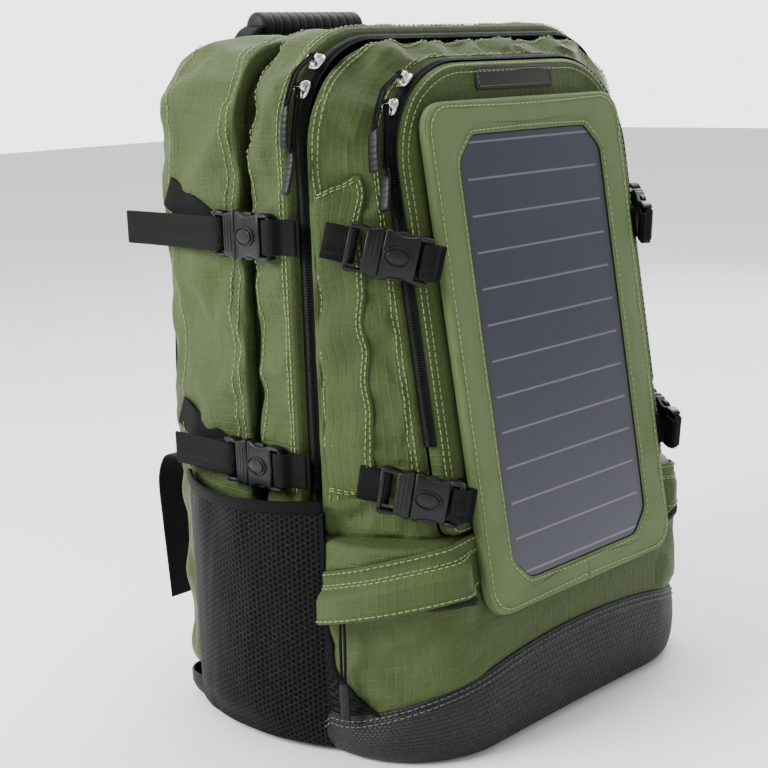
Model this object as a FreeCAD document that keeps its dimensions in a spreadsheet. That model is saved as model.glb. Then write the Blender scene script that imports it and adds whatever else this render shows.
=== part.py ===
import FreeCAD, Part
import Sketcher

import math
import os

# A day pack with a solar board on its front.  The origin is on the ground, under the middle of the
# bag; +X is the viewer's right when looking at the solar board, +Y runs to the wearer's back, +Z is up.

DIMENSIONS = (
    ("body_width", 290, "width over both main compartments"),
    ("crown_height", 418, "ground to the top of the second compartment"),
    ("rear_height", 412, "ground to the top of the rear compartment"),
    ("crown_radius", 62, "top corners of the second compartment"),
    ("rear_crown_radius", 45, "top corners of the rear compartment"),
    ("heel_radius", 20, "bottom corners of both compartments"),
    ("floor_thickness", 14, "padded floor under the compartments"),
    ("seam_reach", 35, "front seam of the second compartment, ahead of the origin"),
    ("second_depth", 48, "second compartment, front to back"),
    ("fold_depth", 7, "bellows fold between the compartments, front to back"),
    ("fold_inset", 12, "how far the bellows fold lies below the surface"),
    ("rear_depth", 80, "rear compartment, front to back"),
    ("rear_edge_radius", 18, "rounding of the rear compartment towards the back"),
    ("fabric_wall", 3, "wall of a hollow padded compartment"),
    ("board_width", 180, "solar board"),
    ("board_height", 293, "solar board"),
    ("board_thickness", 6, "solar board with its fabric frame"),
    ("board_corner", 16, "corner radius of the solar board"),
    ("board_reach", 98, "front of the solar board ahead of the origin, at the window's middle"),
    ("board_middle", 228, "height of the window's middle"),
    ("board_lean", 8.55, "degrees that the board leans back"),
    ("board_gap", 3, "board to the pocket behind it"),
    ("window_rise", 2, "window's middle below the board's middle"),
    ("window_width", 132, "window in the fabric frame"),
    ("window_height", 258, "window in the fabric frame"),
    ("window_chamfer", 14, "corner cut of the window"),
    ("cover_thickness", 1.2, "fabric frame round the window"),
    ("film_thickness", 0.6, "clear film over the cells"),
    ("cell_thickness", 0.3, "solar strip"),
    ("cell_width", 125, "solar strip, across the board"),
    ("cell_pitch", 20.8, "solar strips, middle to middle"),
    ("cell_space", 0.5, "space between two strips"),
    ("cell_count", 12, "solar strips"),
    ("pocket_back_step", 4, "front pocket's rear seam inside each side of the second compartment"),
    ("pocket_front_width", 220, "front pocket behind its zip"),
    ("pocket_rise", 176, "top of the front pocket above the window's middle, along the board"),
    ("pocket_drop", 97, "bottom of the front pocket below the window's middle, along the board"),
    ("pocket_panel_depth", 12, "flat front of the pocket, ahead of the puffed side"),
    ("zip_channel_width", 14, "channel that a zip lies in"),
    ("zip_channel_depth", 8, "channel of the main zip"),
    ("pocket_zip_step", 4, "channel of the pocket zip"),
    ("tape_thickness", 1.2, "zip tape"),
    ("tape_width", 10, "zip tape"),
    ("chain_thickness", 1.5, "zip coil above its tape"),
    ("chain_width", 5, "zip coil"),
    ("zip_end_height", 142, "lower ends of the main zip"),
    ("pocket_zip_drop", 40, "lower ends of the pocket zip, below the window's middle"),
    ("lower_slider_angle", 29, "degrees of the main zip's lower slider up the corner"),
    ("pocket_slider_angle", 34, "degrees of the pocket zip's lower slider up the corner"),
    ("slider_spread", 18, "degrees between the two sliders of a zip"),
    ("pull_length", 54, "upper pull of the main zip, from its pin to its end"),
    ("hang_length", 60, "lower pull of the main zip, from its pin to its end"),
    ("pull_width", 5.6, "tab of the main zip's pulls"),
    ("pocket_pull_length", 60, "upper pull of the pocket zip, from its pin to its end"),
    ("pocket_hang_length", 60, "lower pull of the pocket zip, from its pin to its end"),
    ("pocket_pull_width", 8, "tab of the pocket zip's pulls"),
    ("pull_rise", 4.6, "how far an upper pull lies above the slider under it"),
    ("pull_slant", 13, "degrees that a hanging pull stands off the bag"),
    ("lower_pull_length", 68, "pull of the lower zip"),
    ("base_front", 111, "front of the bottom compartment, ahead of the origin"),
    ("base_corner", 65, "front corners of the bottom compartment, seen from above"),
    ("shell_low", 20, "top edge of the black base at the sides"),
    ("shell_rise", 40, "rise of the base's top edge towards the middle"),
    ("base_edge_radius", 8, "rounding under the base"),
    ("bottom_height", 128.5, "top of the bottom compartment"),
    ("flap_thickness", 2, "storm flap over the lower zip"),
    ("flap_height", 30, "storm flap"),
    ("flap_low", 84, "lower edge of the storm flap at the side"),
    ("flap_stand", 11.2, "room for the slider under the storm flap, round the front corners"),
    ("flap_shelf", 4, "step in the storm flap above the slider"),
    ("flap_hem", 7, "band of the storm flap above its step"),
    ("flap_flat", 93, "half the width that the storm flap lies flat on, behind the solar board"),
    ("flap_slope", 0.3, "rise of the storm flap towards the front"),
    ("flap_start", 42, "rear end of the storm flap, ahead of the origin"),
    ("lower_zip_height", 97, "lower zip above the ground"),
    ("lower_slider_turn", 11, "degrees of the lower slider round the corner"),
    ("bottle_bulge", 22, "side pocket, how far it stands out"),
    ("bottle_wall", 2.5, "side pocket's mesh wall"),
    ("bottle_front", 40, "front seam of the side pocket, ahead of the origin"),
    ("bottle_rear", 80, "rear seam of the side pocket, behind the origin"),
    ("bottle_low", 4, "bottom of the side pocket"),
    ("bottle_high", 148, "side pocket without its binding"),
    ("binding_height", 7, "elastic binding on the side pocket"),
    ("wing_thickness", 2.5, "side wing that the straps pull on"),
    ("wing_low", 152, "lower edge of the wing"),
    ("wing_high", 336, "upper edge of the wing"),
    ("wing_width", 24, "side wing, front to back"),
    ("label_width", 72, "bare label patch"),
    ("label_height", 13, "bare label patch"),
    ("label_thickness", 1.4, "bare label patch"),
    ("label_rise", 161, "middle of the label above the window's middle"),
    ("hook_pad_width", 20, "hook-and-loop pad behind the board"),
    ("hook_pad_height", 40, "hook-and-loop pad behind the board"),
    ("hook_pad_rise", 20, "hook-and-loop pad above the bottom of the front pocket"),
    ("hook_pad_thickness", 2.7, "hook-and-loop pad behind the board"),
    ("box_width", 60, "junction box behind the board"),
    ("box_height", 30, "junction box"),
    ("box_depth", 13, "junction box with its lid"),
    ("box_wall", 1.6, "junction box"),
    ("box_top", 20, "junction box below the board's top edge"),
    ("window_slack", 6, "opening in the pocket round the junction box"),
    ("socket_width", 14, "USB socket"),
    ("socket_height", 7, "USB socket"),
    ("socket_length", 13, "USB socket"),
    ("bank_width", 80, "power bank"),
    ("bank_height", 117, "power bank"),
    ("bank_depth", 12, "power bank"),
    ("bank_wall", 1.5, "power bank's case"),
    ("bank_corner", 6, "power bank's corners"),
    ("bank_lid", 2.5, "power bank's front shell"),
    ("sleeve_wall", 1.5, "sleeve inside the front pocket"),
    ("sleeve_slack", 1, "space round the power bank in its sleeve"),
    ("sleeve_height", 80, "sleeve inside the front pocket"),
    ("sleeve_low", 142, "bottom of the sleeve above the ground"),
    ("pad_width", 256, "mesh pad on the back"),
    ("pad_low", 34, "mesh pad on the back"),
    ("pad_high", 384, "mesh pad on the back"),
    ("pad_depth", 12, "mesh pad on the back"),
    ("pad_corner", 32, "mesh pad on the back"),
    ("sheet_width", 210, "plastic frame sheet in the back"),
    ("sheet_height", 300, "plastic frame sheet in the back"),
    ("sheet_thickness", 1.5, "plastic frame sheet in the back"),
    ("stay_width", 12, "aluminium stay"),
    ("stay_thickness", 3, "aluminium stay"),
    ("stay_spacing", 110, "aluminium stays, middle to middle"),
    ("inner_slack", 0.25, "space round a hidden piece"),
    ("grip_length", 92, "carry handle grip"),
    ("grip_diameter", 20, "carry handle grip"),
    ("grip_height", 422, "middle of the grip above the ground"),
    ("handle_spread", 62, "half the spread of the handle's feet"),
    ("handle_low", 387, "feet of the handle above the ground"),
    ("handle_strap_width", 19, "handle webbing"),
    ("handle_strap_thickness", 3, "handle webbing"),
    ("webbing_width", 20, "compression strap"),
    ("webbing_thickness", 1.4, "compression strap"),
    ("buckle_width", 28, "side-release buckle"),
    ("socket_half_length", 28, "female half of the buckle"),
    ("clip_half_length", 20, "male half of the buckle"),
    ("buckle_thickness", 8, "side-release buckle"),
    ("buckle_fit", 0.3, "clearance of the prongs in the buckle"),
    ("prong_length", 14, "prongs of the buckle"),
    ("prong_thickness", 3.2, "prongs of the buckle"),
    ("upper_strap_drop", 114, "upper compression strap below the top of the second compartment"),
    ("lower_strap_height", 170, "lower compression strap"),
    ("rear_buckle_place", 14, "mouth of a rear buckle behind the origin"),
    ("upper_tail", 100, "free tail of the upper rear strap"),
    ("lower_tail", 66, "free tail of the lower rear strap"),
    ("rear_socket_webbing", 46, "webbing from a rear buckle's socket to the pocket's seam"),
    ("front_socket_webbing", 34, "webbing from a front buckle's socket to its seam"),
    ("front_buckle_reach", 16, "mouth of a front buckle from the front end of its strap"),
    ("front_anchor_reach", 33, "end of a front buckle's anchor webbing from the mouth"),
    ("front_strap_drop", 12, "how far a front strap falls towards the solar board"),
    ("strap_rise", 22, "how far a rear strap climbs to the back seam"),
    ("shoulder_thickness", 10, "shoulder strap pad"),
    ("shoulder_bow", 16, "how far a shoulder strap bows out"),
    ("shoulder_top", 374, "top of a shoulder strap"),
    ("shoulder_low", 150, "lower end of a shoulder strap pad"),
    ("shoulder_top_width", 54, "shoulder strap pad at its top"),
    ("shoulder_low_width", 44, "shoulder strap pad at its lower end"),
    ("shoulder_top_place", 56, "middle of a shoulder strap at its top"),
    ("shoulder_low_place", 95, "middle of a shoulder strap at its lower end"),
    ("adjuster_width", 36, "ladder lock on a shoulder strap"),
    ("adjuster_height", 20, "ladder lock on a shoulder strap"),
    ("adjuster_thickness", 4, "ladder lock on a shoulder strap"),
    ("adjuster_webbing", 25, "webbing under a shoulder strap"),
    ("adjuster_strap", 1.8, "webbing under a shoulder strap"),
    ("adjuster_anchor", 60, "height of the shoulder webbing's anchor"),
    ("adjuster_tail_low", 40, "height of the shoulder webbing's free end"),
    ("adjuster_tail_reach", 44, "how far the free end arches out"),
)

V = FreeCAD.Vector
ACROSS = V(1, 0, 0)
BACK = V(0, 1, 0)
UP = V(0, 0, 1)

doc = FreeCAD.newDocument("SolarBackpack")
sheet = doc.addObject("Spreadsheet::Sheet", "Sizes")
for row, (alias, number, meaning) in enumerate(DIMENSIONS, start=1):
    sheet.set("A%d" % row, alias)
    sheet.set("B%d" % row, str(number))
    sheet.setAlias("B%d" % row, alias)
    sheet.set("C%d" % row, meaning)
doc.recompute()


def size(alias):
    return float(sheet.get(alias))


# ---------------------------------------------------------------- planes and outlines

LEAN = math.radians(size("board_lean"))
BOARD_UP = V(0, math.sin(LEAN), math.cos(LEAN))
BOARD_IN = V(0, math.cos(LEAN), -math.sin(LEAN))
BOARD_MIDDLE = V(0, -size("board_reach"), size("board_middle"))
BOARD_PLACE = FreeCAD.Placement(BOARD_MIDDLE, FreeCAD.Rotation(ACROSS, -size("board_lean")))

HALF_BODY = size("body_width") / 2
SEAM = -size("seam_reach")
FOLD = SEAM + size("second_depth")
REAR_FRONT = FOLD + size("fold_depth")
REAR_BACK = REAR_FRONT + size("rear_depth")
POCKET_FACE = size("board_thickness") + size("board_gap")
POCKET_SEAM = POCKET_FACE + size("pocket_panel_depth")
CROWN = (HALF_BODY - size("crown_radius"), size("crown_height") - size("crown_radius"))


def upright(depth):
    """The XZ plane at a depth."""
    return lambda u, v: V(u, depth, v)


def level(height):
    """The XY plane at a height."""
    return lambda u, v: V(u, v, height)


def sideways(reach):
    """The YZ plane at a reach."""
    return lambda u, v: V(reach, u, v)


def leaning(depth):
    """The plane of the solar board, a depth behind its front."""
    return lambda u, v: BOARD_MIDDLE + ACROSS * u + BOARD_UP * v + BOARD_IN * depth


def wire(corners, plane):
    """A closed outline of (u, v, radius) corners, with each corner rounded by its radius."""
    starts, ends, edges = [], [], []
    for index, (u, v, radius) in enumerate(corners):
        here = plane(u, v)
        before = plane(*corners[index - 1][:2]) - here
        after = plane(*corners[(index + 1) % len(corners)][:2]) - here
        before.normalize()
        after.normalize()
        half_angle = before.getAngle(after) / 2
        reach = radius / math.tan(half_angle)
        starts.append(here + before * reach)
        ends.append(here + after * reach)
        if radius > 0:
            bisector = before + after
            bisector.normalize()
            inside = radius / math.sin(half_angle) - radius
            edges.append(Part.Arc(starts[-1], here + bisector * inside, ends[-1]).toShape())
        else:
            edges.append(None)
    ring = []
    for index, corner_edge in enumerate(edges):
        if corner_edge is not None:
            ring.append(corner_edge)
        ring.append(Part.makeLine(ends[index], starts[(index + 1) % len(corners)]))
    return Part.Wire(ring)


def slab(corners, plane, sweep):
    return Part.Face(wire(corners, plane)).extrude(sweep)


def arch(half_width, low, high, low_radius, high_radius):
    """The outline of a compartment seen from the front."""
    return (
        (-half_width, low, low_radius),
        (half_width, low, low_radius),
        (half_width, high, high_radius),
        (-half_width, high, high_radius),
    )


def inset_arch(outline, depth):
    (left, low, low_radius), _, (right, high, high_radius), _ = outline
    return arch(right - depth, low + depth, high - depth, max(low_radius - depth, 0.5), high_radius - depth)


def block(x_range, y_range, z_range):
    lengths = (x_range[1] - x_range[0], y_range[1] - y_range[0], z_range[1] - z_range[0])
    return Part.makeBox(*lengths, V(x_range[0], y_range[0], z_range[0]))


def mirrored(shape):
    return shape.mirror(V(0, 0, 0), ACROSS)


def placed(shape, placement):
    moved = shape.copy()
    moved.Placement = placement.multiply(moved.Placement)
    return moved


# ---------------------------------------------------------------- document objects

SUB_PARTS = []


def kept(piece, label):
    piece.Label = label
    SUB_PARTS.append(piece)
    return piece


def feature(label, shape, placement=None):
    """A sub-part whose shape is worked out here from the sheet's sizes."""
    piece = doc.addObject("Part::Feature", label)
    piece.Shape = shape
    if placement is not None:
        piece.Placement = placement
    return kept(piece, label)


def bound(piece, formulas):
    """Ties properties of an object to the sheet."""
    for name, formula in formulas.items():
        piece.setExpression(name, formula)
    return piece


def box(label, length, width, height, x, y, z):
    """A Part::Box whose sizes and corner are formulas of the sheet."""
    piece = doc.addObject("Part::Box", label)
    return bound(piece, {
        "Length": length, "Width": width, "Height": height,
        "Placement.Base.x": x, "Placement.Base.y": y, "Placement.Base.z": z,
    })


def cut(label, base, tool):
    piece = doc.addObject("Part::Cut", label)
    piece.Base = base
    piece.Tool = tool
    return piece


def group(label, members):
    piece = doc.addObject("Part::Compound", label)
    piece.Links = members
    return piece


def plate(label, width, height, thickness, corner, chamfered=False):
    """A PartDesign plate in the XZ plane of its own body, its front at Y 0, with cut or round corners."""
    body = doc.addObject("PartDesign::Body", label)
    plane = next(f for f in body.Origin.OriginFeatures if f.Role == "XZ_Plane")
    sketch = body.newObject("Sketcher::SketchObject", label + "_outline")
    sketch.AttachmentSupport = (plane, "")
    sketch.MapMode = "FlatFace"
    points = (V(-10, -10, 0), V(10, -10, 0), V(10, 10, 0), V(-10, 10, 0))
    for index in range(4):
        sketch.addGeometry(Part.LineSegment(points[index], points[(index + 1) % 4]), False)
    for index in range(4):
        sketch.addConstraint(Sketcher.Constraint("Coincident", index, 2, (index + 1) % 4, 1))
    for side in (0, 2):
        sketch.addConstraint(Sketcher.Constraint("Horizontal", side))
    for side in (1, 3):
        sketch.addConstraint(Sketcher.Constraint("Vertical", side))
    sketch.addConstraint(Sketcher.Constraint("Symmetric", 0, 1, 1, 2, -1, 1))
    across = sketch.addConstraint(Sketcher.Constraint("DistanceX", 0, 1, 0, 2, 20))
    along = sketch.addConstraint(Sketcher.Constraint("DistanceY", 1, 1, 1, 2, 20))
    sketch.setExpression("Constraints[%d]" % across, width)
    sketch.setExpression("Constraints[%d]" % along, height)
    pad = body.newObject("PartDesign::Pad", label + "_pad")
    pad.Profile = sketch
    pad.Reversed = True
    pad.setExpression("Length", thickness)
    doc.recompute()
    kind = "Chamfer" if chamfered else "Fillet"
    corners = body.newObject("PartDesign::" + kind, label + "_corners")
    names = []
    for index, edge in enumerate(pad.Shape.Edges, start=1):
        ends = [vertex.Point for vertex in edge.Vertexes]
        if abs(abs((ends[1] - ends[0]).normalize().y) - 1) < 1e-6:
            names.append("Edge%d" % index)
    corners.Base = (pad, names)
    corners.setExpression("Size" if chamfered else "Radius", corner)
    body.Tip = corners
    doc.recompute()
    return body


# ---------------------------------------------------------------- bag body


def front_half_space(depth):
    """Everything ahead of the leaning plane at a depth behind the board's front."""
    reach = 2 * size("crown_height")
    return slab(arch(reach, -reach, reach, 0, 0), leaning(depth), BOARD_IN * -reach)


def under_arch():
    """The block under the curved top edge of the black base."""
    half, low = HALF_BODY, size("shell_low")
    curve = Part.Ellipse(V(0, 0, 0), half, size("shell_rise"))
    curve_edge = Part.Arc(curve, 0, math.pi).toShape()
    turn = FreeCAD.Placement(V(0, 0, low), FreeCAD.Rotation(ACROSS, 90))
    curve_edge.Placement = turn
    points = [V(half, 0, low), V(half, 0, -low), V(-half, 0, -low), V(-half, 0, low)]
    lines = [Part.makeLine(points[index], points[index + 1]) for index in range(3)]
    face = Part.Face(Part.Wire(Part.__sortEdges__([curve_edge] + lines)))
    shape = face.extrude(BACK * 4 * size("base_front"))
    shape.translate(BACK * -2 * size("base_front"))
    return shape


def footprint(grow, back, back_radius):
    """The bag's outline seen from above, grown outwards."""
    half, front = HALF_BODY + grow, -size("base_front") - grow
    corner = size("base_corner") + grow
    return ((-half, back, back_radius), (-half, front, corner), (half, front, corner), (half, back, back_radius))


def bottom_block(grow, back, low, high):
    """The bottom compartment between two heights, grown outwards, with its front cut along the board."""
    shape = slab(footprint(grow, back, 0), level(low), UP * (high - low))
    return shape.cut(front_half_space(POCKET_FACE - grow))


def pocket_outlines(grow):
    """The front pocket's outlines at its seam and behind its zip, grown outwards."""
    high = size("board_middle") + size("pocket_rise") * math.cos(LEAN) + 6
    seam = arch(HALF_BODY - size("pocket_back_step") + grow, size("bottom_height") - grow, high + grow,
                10 + grow, size("crown_radius") - 3 + grow)
    front = arch(size("pocket_front_width") / 2 + grow, -size("pocket_drop") - grow,
                 size("pocket_rise") + grow, 10 + grow, size("crown_radius") + grow)
    return seam, front


def puffed_side(grow, seam_depth, front_depth):
    seam, front = pocket_outlines(grow)
    wires = [wire(seam, upright(seam_depth)), wire(front, leaning(front_depth))]
    return Part.makeLoft(wires, True, True)


SECOND_OUTLINE = arch(HALF_BODY, size("floor_thickness"), size("crown_height"),
                      size("heel_radius"), size("crown_radius"))
REAR_OUTLINE = arch(HALF_BODY, size("floor_thickness"), size("rear_height"),
                    size("heel_radius"), size("rear_crown_radius"))
PANEL_OUTLINE = inset_arch(pocket_outlines(0)[1], size("pocket_zip_step"))


def make_rear_compartment():
    shape = slab(REAR_OUTLINE, upright(REAR_FRONT), BACK * size("rear_depth"))
    rear = [e for e in shape.Edges if all(abs(vertex.Y - REAR_BACK) < 1e-6 for vertex in e.Vertexes)]
    return shape.makeFillet(size("rear_edge_radius"), rear)


def make_second_compartment():
    shape = slab(SECOND_OUTLINE, upright(SEAM), BACK * size("second_depth"))
    sweep = BACK * size("zip_channel_width")
    channel = slab(SECOND_OUTLINE, upright(SEAM), sweep)
    channel = channel.cut(slab(inset_arch(SECOND_OUTLINE, size("zip_channel_depth")), upright(SEAM), sweep))
    below = size("zip_end_height") - size("tape_width") / 2
    reach = 2 * size("crown_height")
    channel = channel.cut(block((-reach, reach), (-reach, reach), (0, below)))
    fold = slab(inset_arch(SECOND_OUTLINE, size("fold_inset")), upright(FOLD), BACK * size("fold_depth"))
    return shape.cut(channel).fuse(fold).removeSplitter()


def make_front_pocket():
    wall = size("fabric_wall")
    panel_depth = size("pocket_panel_depth")
    shape = puffed_side(0, SEAM, POCKET_SEAM)
    shape = shape.fuse(slab(PANEL_OUTLINE, leaning(POCKET_FACE), BOARD_IN * panel_depth))
    seam, _ = pocket_outlines(-2 * wall)
    inner = inset_arch(PANEL_OUTLINE, wall)
    wires = [wire(seam, upright(SEAM - wall)), wire(inner, leaning(POCKET_SEAM))]
    shape = shape.cut(Part.makeLoft(wires, True, True))
    shape = shape.cut(slab(inner, leaning(POCKET_FACE + wall), BOARD_IN * (panel_depth - wall)))
    half = size("box_width") / 2 + size("window_slack")
    high = board_top() - size("box_top") + size("window_slack")
    low = board_top() - size("box_top") - size("box_height") - size("window_slack")
    slit = slab(arch(half, low, high, 3, 3), leaning(POCKET_FACE - 1), BOARD_IN * (wall + 2))
    return shape.cut(slit).removeSplitter()


def board_top():
    return size("board_height") / 2 + size("window_rise")


def make_bottom_compartment():
    return bottom_block(0, SEAM, 0, size("bottom_height")).cut(under_arch()).removeSplitter()


def make_base_panel():
    top = size("shell_low") + size("shell_rise")
    shape = slab(footprint(0, REAR_BACK, size("rear_edge_radius")), level(0), UP * top)
    reach = 2 * size("base_front")
    shape = shape.cut(block((-reach, reach), (SEAM, reach), (size("floor_thickness"), top)))
    shape = shape.common(under_arch()).removeSplitter()
    sole = [e for e in shape.Edges if all(abs(vertex.Z) < 1e-6 for vertex in e.Vertexes)]
    return shape.makeFillet(size("base_edge_radius"), sole)


def flap_band(inner, outer, low, high):
    """A band round the bottom compartment, between two heights that rise towards the front."""
    back, height = -size("flap_start"), 2 * size("bottom_height")
    ring = bottom_block(outer, back, 0, height).cut(bottom_block(inner, back + 1, 0, height))
    front = -2 * size("base_front")
    rise = (back - front) * size("flap_slope")
    corners = ((back, low, 0), (back, high, 0), (front, high + rise, 0), (front, low + rise, 0))
    reach = size("body_width")
    return ring.common(slab(corners, sideways(-reach), ACROSS * 2 * reach))


def behind_board_strip(grow):
    """The part of the bottom compartment's front that the solar board covers."""
    reach, flat = size("body_width"), size("flap_flat")
    return block((-flat, flat), (-reach, reach), (-grow, size("crown_height")))


def make_storm_flap():
    """Flat behind the board; round the corners its lower part stands off to clear the slider."""
    thickness, stand = size("flap_thickness"), size("flap_stand")
    low, high = size("flap_low"), size("flap_low") + size("flap_height")
    shelf = high - size("flap_shelf") - size("flap_hem")
    upper = flap_band(0, thickness, shelf, high)
    flat = flap_band(0, thickness, low, high).common(behind_board_strip(0))
    step = flap_band(0, stand + thickness, shelf, shelf + size("flap_shelf"))
    skirt = flap_band(stand, stand + thickness, low, shelf + size("flap_shelf"))
    corners = step.fuse(skirt).cut(behind_board_strip(1))
    return upper.fuse([flat, corners]).removeSplitter()


def make_lower_zip():
    """Tape and coil round the bottom compartment, under the storm flap."""
    back, middle = -size("flap_start"), size("lower_zip_height")
    tape, chain = size("tape_width") / 2, size("chain_width") / 2
    inner = bottom_block(0, back + 1, 0, size("bottom_height"))
    strip = bottom_block(size("tape_thickness"), back, middle - tape, middle + tape)
    coil_grow = size("tape_thickness") + size("chain_thickness")
    coil = bottom_block(coil_grow, back, middle - chain, middle + chain)
    return strip.fuse(coil).cut(inner).cut(behind_board_strip(1)).removeSplitter()


def bottle_curve(front, rear, bulge):
    middle = V(-HALF_BODY - bulge, (front + rear) / 2, 0)
    ends = V(-HALF_BODY, front, 0), V(-HALF_BODY, rear, 0)
    bow = Part.Arc(ends[0], middle, ends[1]).toShape()
    return Part.Face(Part.Wire([bow, Part.makeLine(ends[1], ends[0])]))


def make_side_pocket(low, high, floor, grow=0):
    """A bulging mesh wall whose fourth side is the bag's own side."""
    front, rear = -size("bottle_front"), size("bottle_rear")
    bulge, wall = size("bottle_bulge"), size("bottle_wall")
    outer = bottle_curve(front - grow, rear + grow, bulge + grow).extrude(UP * (high - low))
    inner = bottle_curve(front + wall * 2, rear - wall * 2, bulge - wall).extrude(UP * (high - low))
    outer.translate(UP * low)
    inner.translate(UP * (low + floor))
    return outer.cut(inner)


def make_wing():
    """The fabric wing on the left of the front pocket's puffed side."""
    thickness = size("wing_thickness")
    skin = puffed_side(thickness, SEAM, POCKET_SEAM).cut(puffed_side(0, SEAM, POCKET_SEAM))
    rear, front = SEAM - 2, SEAM - size("wing_width")
    low, high = size("wing_low"), size("wing_high")
    corners = ((rear, low, 0), (front - 8, low - 8, 0), (front, high + 6, 0), (rear, high, 0))
    reach = size("body_width")
    return skin.common(slab(corners, sideways(-reach), ACROSS * (reach - size("pocket_front_width") / 4)))


# ---------------------------------------------------------------- zips


def ring_of(outline, depth_range, high_inset, low_inset):
    """A strip that follows an outline, between two insets from it."""
    sweep = BACK * (depth_range[1] - depth_range[0])
    outer = slab(inset_arch(outline, high_inset), upright(depth_range[0]), sweep)
    return outer.cut(slab(inset_arch(outline, low_inset), upright(depth_range[0]), sweep))


def zip_shape(outline, floor_inset, end_height):
    """Tape and coil on the floor of a channel, centred on Y 0."""
    tape, chain = size("tape_width") / 2, size("chain_width") / 2
    tape_top = floor_inset - size("tape_thickness")
    shape = ring_of(outline, (-tape, tape), tape_top, floor_inset)
    shape = shape.fuse(ring_of(outline, (-chain, chain), tape_top - size("chain_thickness"), tape_top))
    reach = 2 * size("crown_height")
    return shape.removeSplitter().cut(block((-reach, reach), (-tape, tape), (-reach, end_height)))


SLIDER_LENGTH, SLIDER_WIDTH, SLIDER_HEIGHT = 11, 9, 2.2
SLIDER_LIFT = 0.5
PIN_HEIGHT, PIN_RADIUS, PIN_FIT = 5.5, 0.8, 0.3
HEAD_RADIUS, HEAD_WIDTH = 2.3, 4.0
CORD_WIDTH, CORD_THICKNESS = 4.0, 2.0
TAB_LENGTH, TAB_THICKNESS = 24, 2.6


def slider_shape(pin_turn=0):
    """A metal slider: X along the chain, Y across it, Z out of the bag, with its pin on two posts."""
    half, wide = SLIDER_LENGTH / 2, SLIDER_WIDTH / 2
    outline = ((-half, -wide + 1.5, 1), (half, -wide, 2), (half, wide, 2), (-half, wide - 1.5, 1))
    shape = slab(outline, level(0), UP * SLIDER_HEIGHT)
    post_inner = HEAD_WIDTH / 2 + PIN_FIT
    length = 2 * post_inner + 1
    bridge = Part.makeCylinder(PIN_RADIUS, length, V(0, -length / 2, PIN_HEIGHT), BACK)
    for side in (-1, 1):
        ends = sorted((side * post_inner, side * (post_inner + 1.4)))
        bridge = bridge.fuse(block((-2, 2), ends, (SLIDER_HEIGHT - 0.5, PIN_HEIGHT + 1.4)))
    bridge.rotate(V(0, 0, 0), UP, pin_turn)
    return shape.fuse(bridge).removeSplitter()


def pull_head():
    ring = Part.makeCylinder(HEAD_RADIUS, HEAD_WIDTH, V(0, -HEAD_WIDTH / 2, 0), BACK)
    return ring.cut(Part.makeCylinder(PIN_RADIUS + PIN_FIT, HEAD_WIDTH, V(0, -HEAD_WIDTH / 2, 0), BACK))


def straight_pull(length, tab_width):
    """A cord and a flat tab that hang down -Z from a ring round the slider's pin."""
    cord, tab = CORD_WIDTH / 2, tab_width / 2
    thick, fat = CORD_THICKNESS / 2, TAB_THICKNESS / 2
    top = -(PIN_RADIUS + PIN_FIT + 0.2)
    shape = pull_head().fuse(block((-thick, thick), (-cord, cord), (TAB_LENGTH - length, top)))
    outline = ((-tab, -length, tab - 0.2), (tab, -length, tab - 0.2),
               (tab - 0.8, TAB_LENGTH - length, 1), (-tab + 0.8, TAB_LENGTH - length, 1))
    grip = slab([(v, u, r) for v, u, r in outline], sideways(-fat), ACROSS * 2 * fat)
    return shape.fuse(grip).removeSplitter()


def curved_pull(radius, length, tab_width):
    """The same pull lying along an arc about (0, 0), raised over what is below; its pin is at (-radius, 0)."""
    head = pull_head()
    head.translate(ACROSS * -radius)
    lane = radius + size("pull_rise")
    start_turn, end_turn = 12, math.degrees(length / radius)
    tab_turn = end_turn - math.degrees(TAB_LENGTH / radius)
    start = math.radians(start_turn)
    link_end = V(-lane * math.cos(start), 0, -lane * math.sin(start))
    link_start = V(-radius - 1.4, 0, -0.8)
    along = (link_end - link_start).normalize()
    side = along.cross(BACK) * (CORD_THICKNESS / 2)
    corners = [link_start + side, link_end + side + along * 0.3, link_end - side + along * 0.3, link_start - side]
    link = slab([(point.x, point.z, 0) for point in corners], upright(-CORD_WIDTH / 2), BACK * CORD_WIDTH)
    shapes = [link]
    spans = ((start_turn, tab_turn + 1, CORD_WIDTH, CORD_THICKNESS), (tab_turn, end_turn, tab_width, TAB_THICKNESS))
    for start, end, width, thickness in spans:
        face = Part.makePlane(thickness, width, V(-lane - thickness / 2, width / 2, 0), UP)
        face.translate(BACK * -width)
        sector = face.revolve(V(0, 0, 0), BACK, -(end - start))
        sector.rotate(V(0, 0, 0), BACK, -start)
        shapes.append(sector)
    return head.fuse(shapes).removeSplitter()


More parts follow.
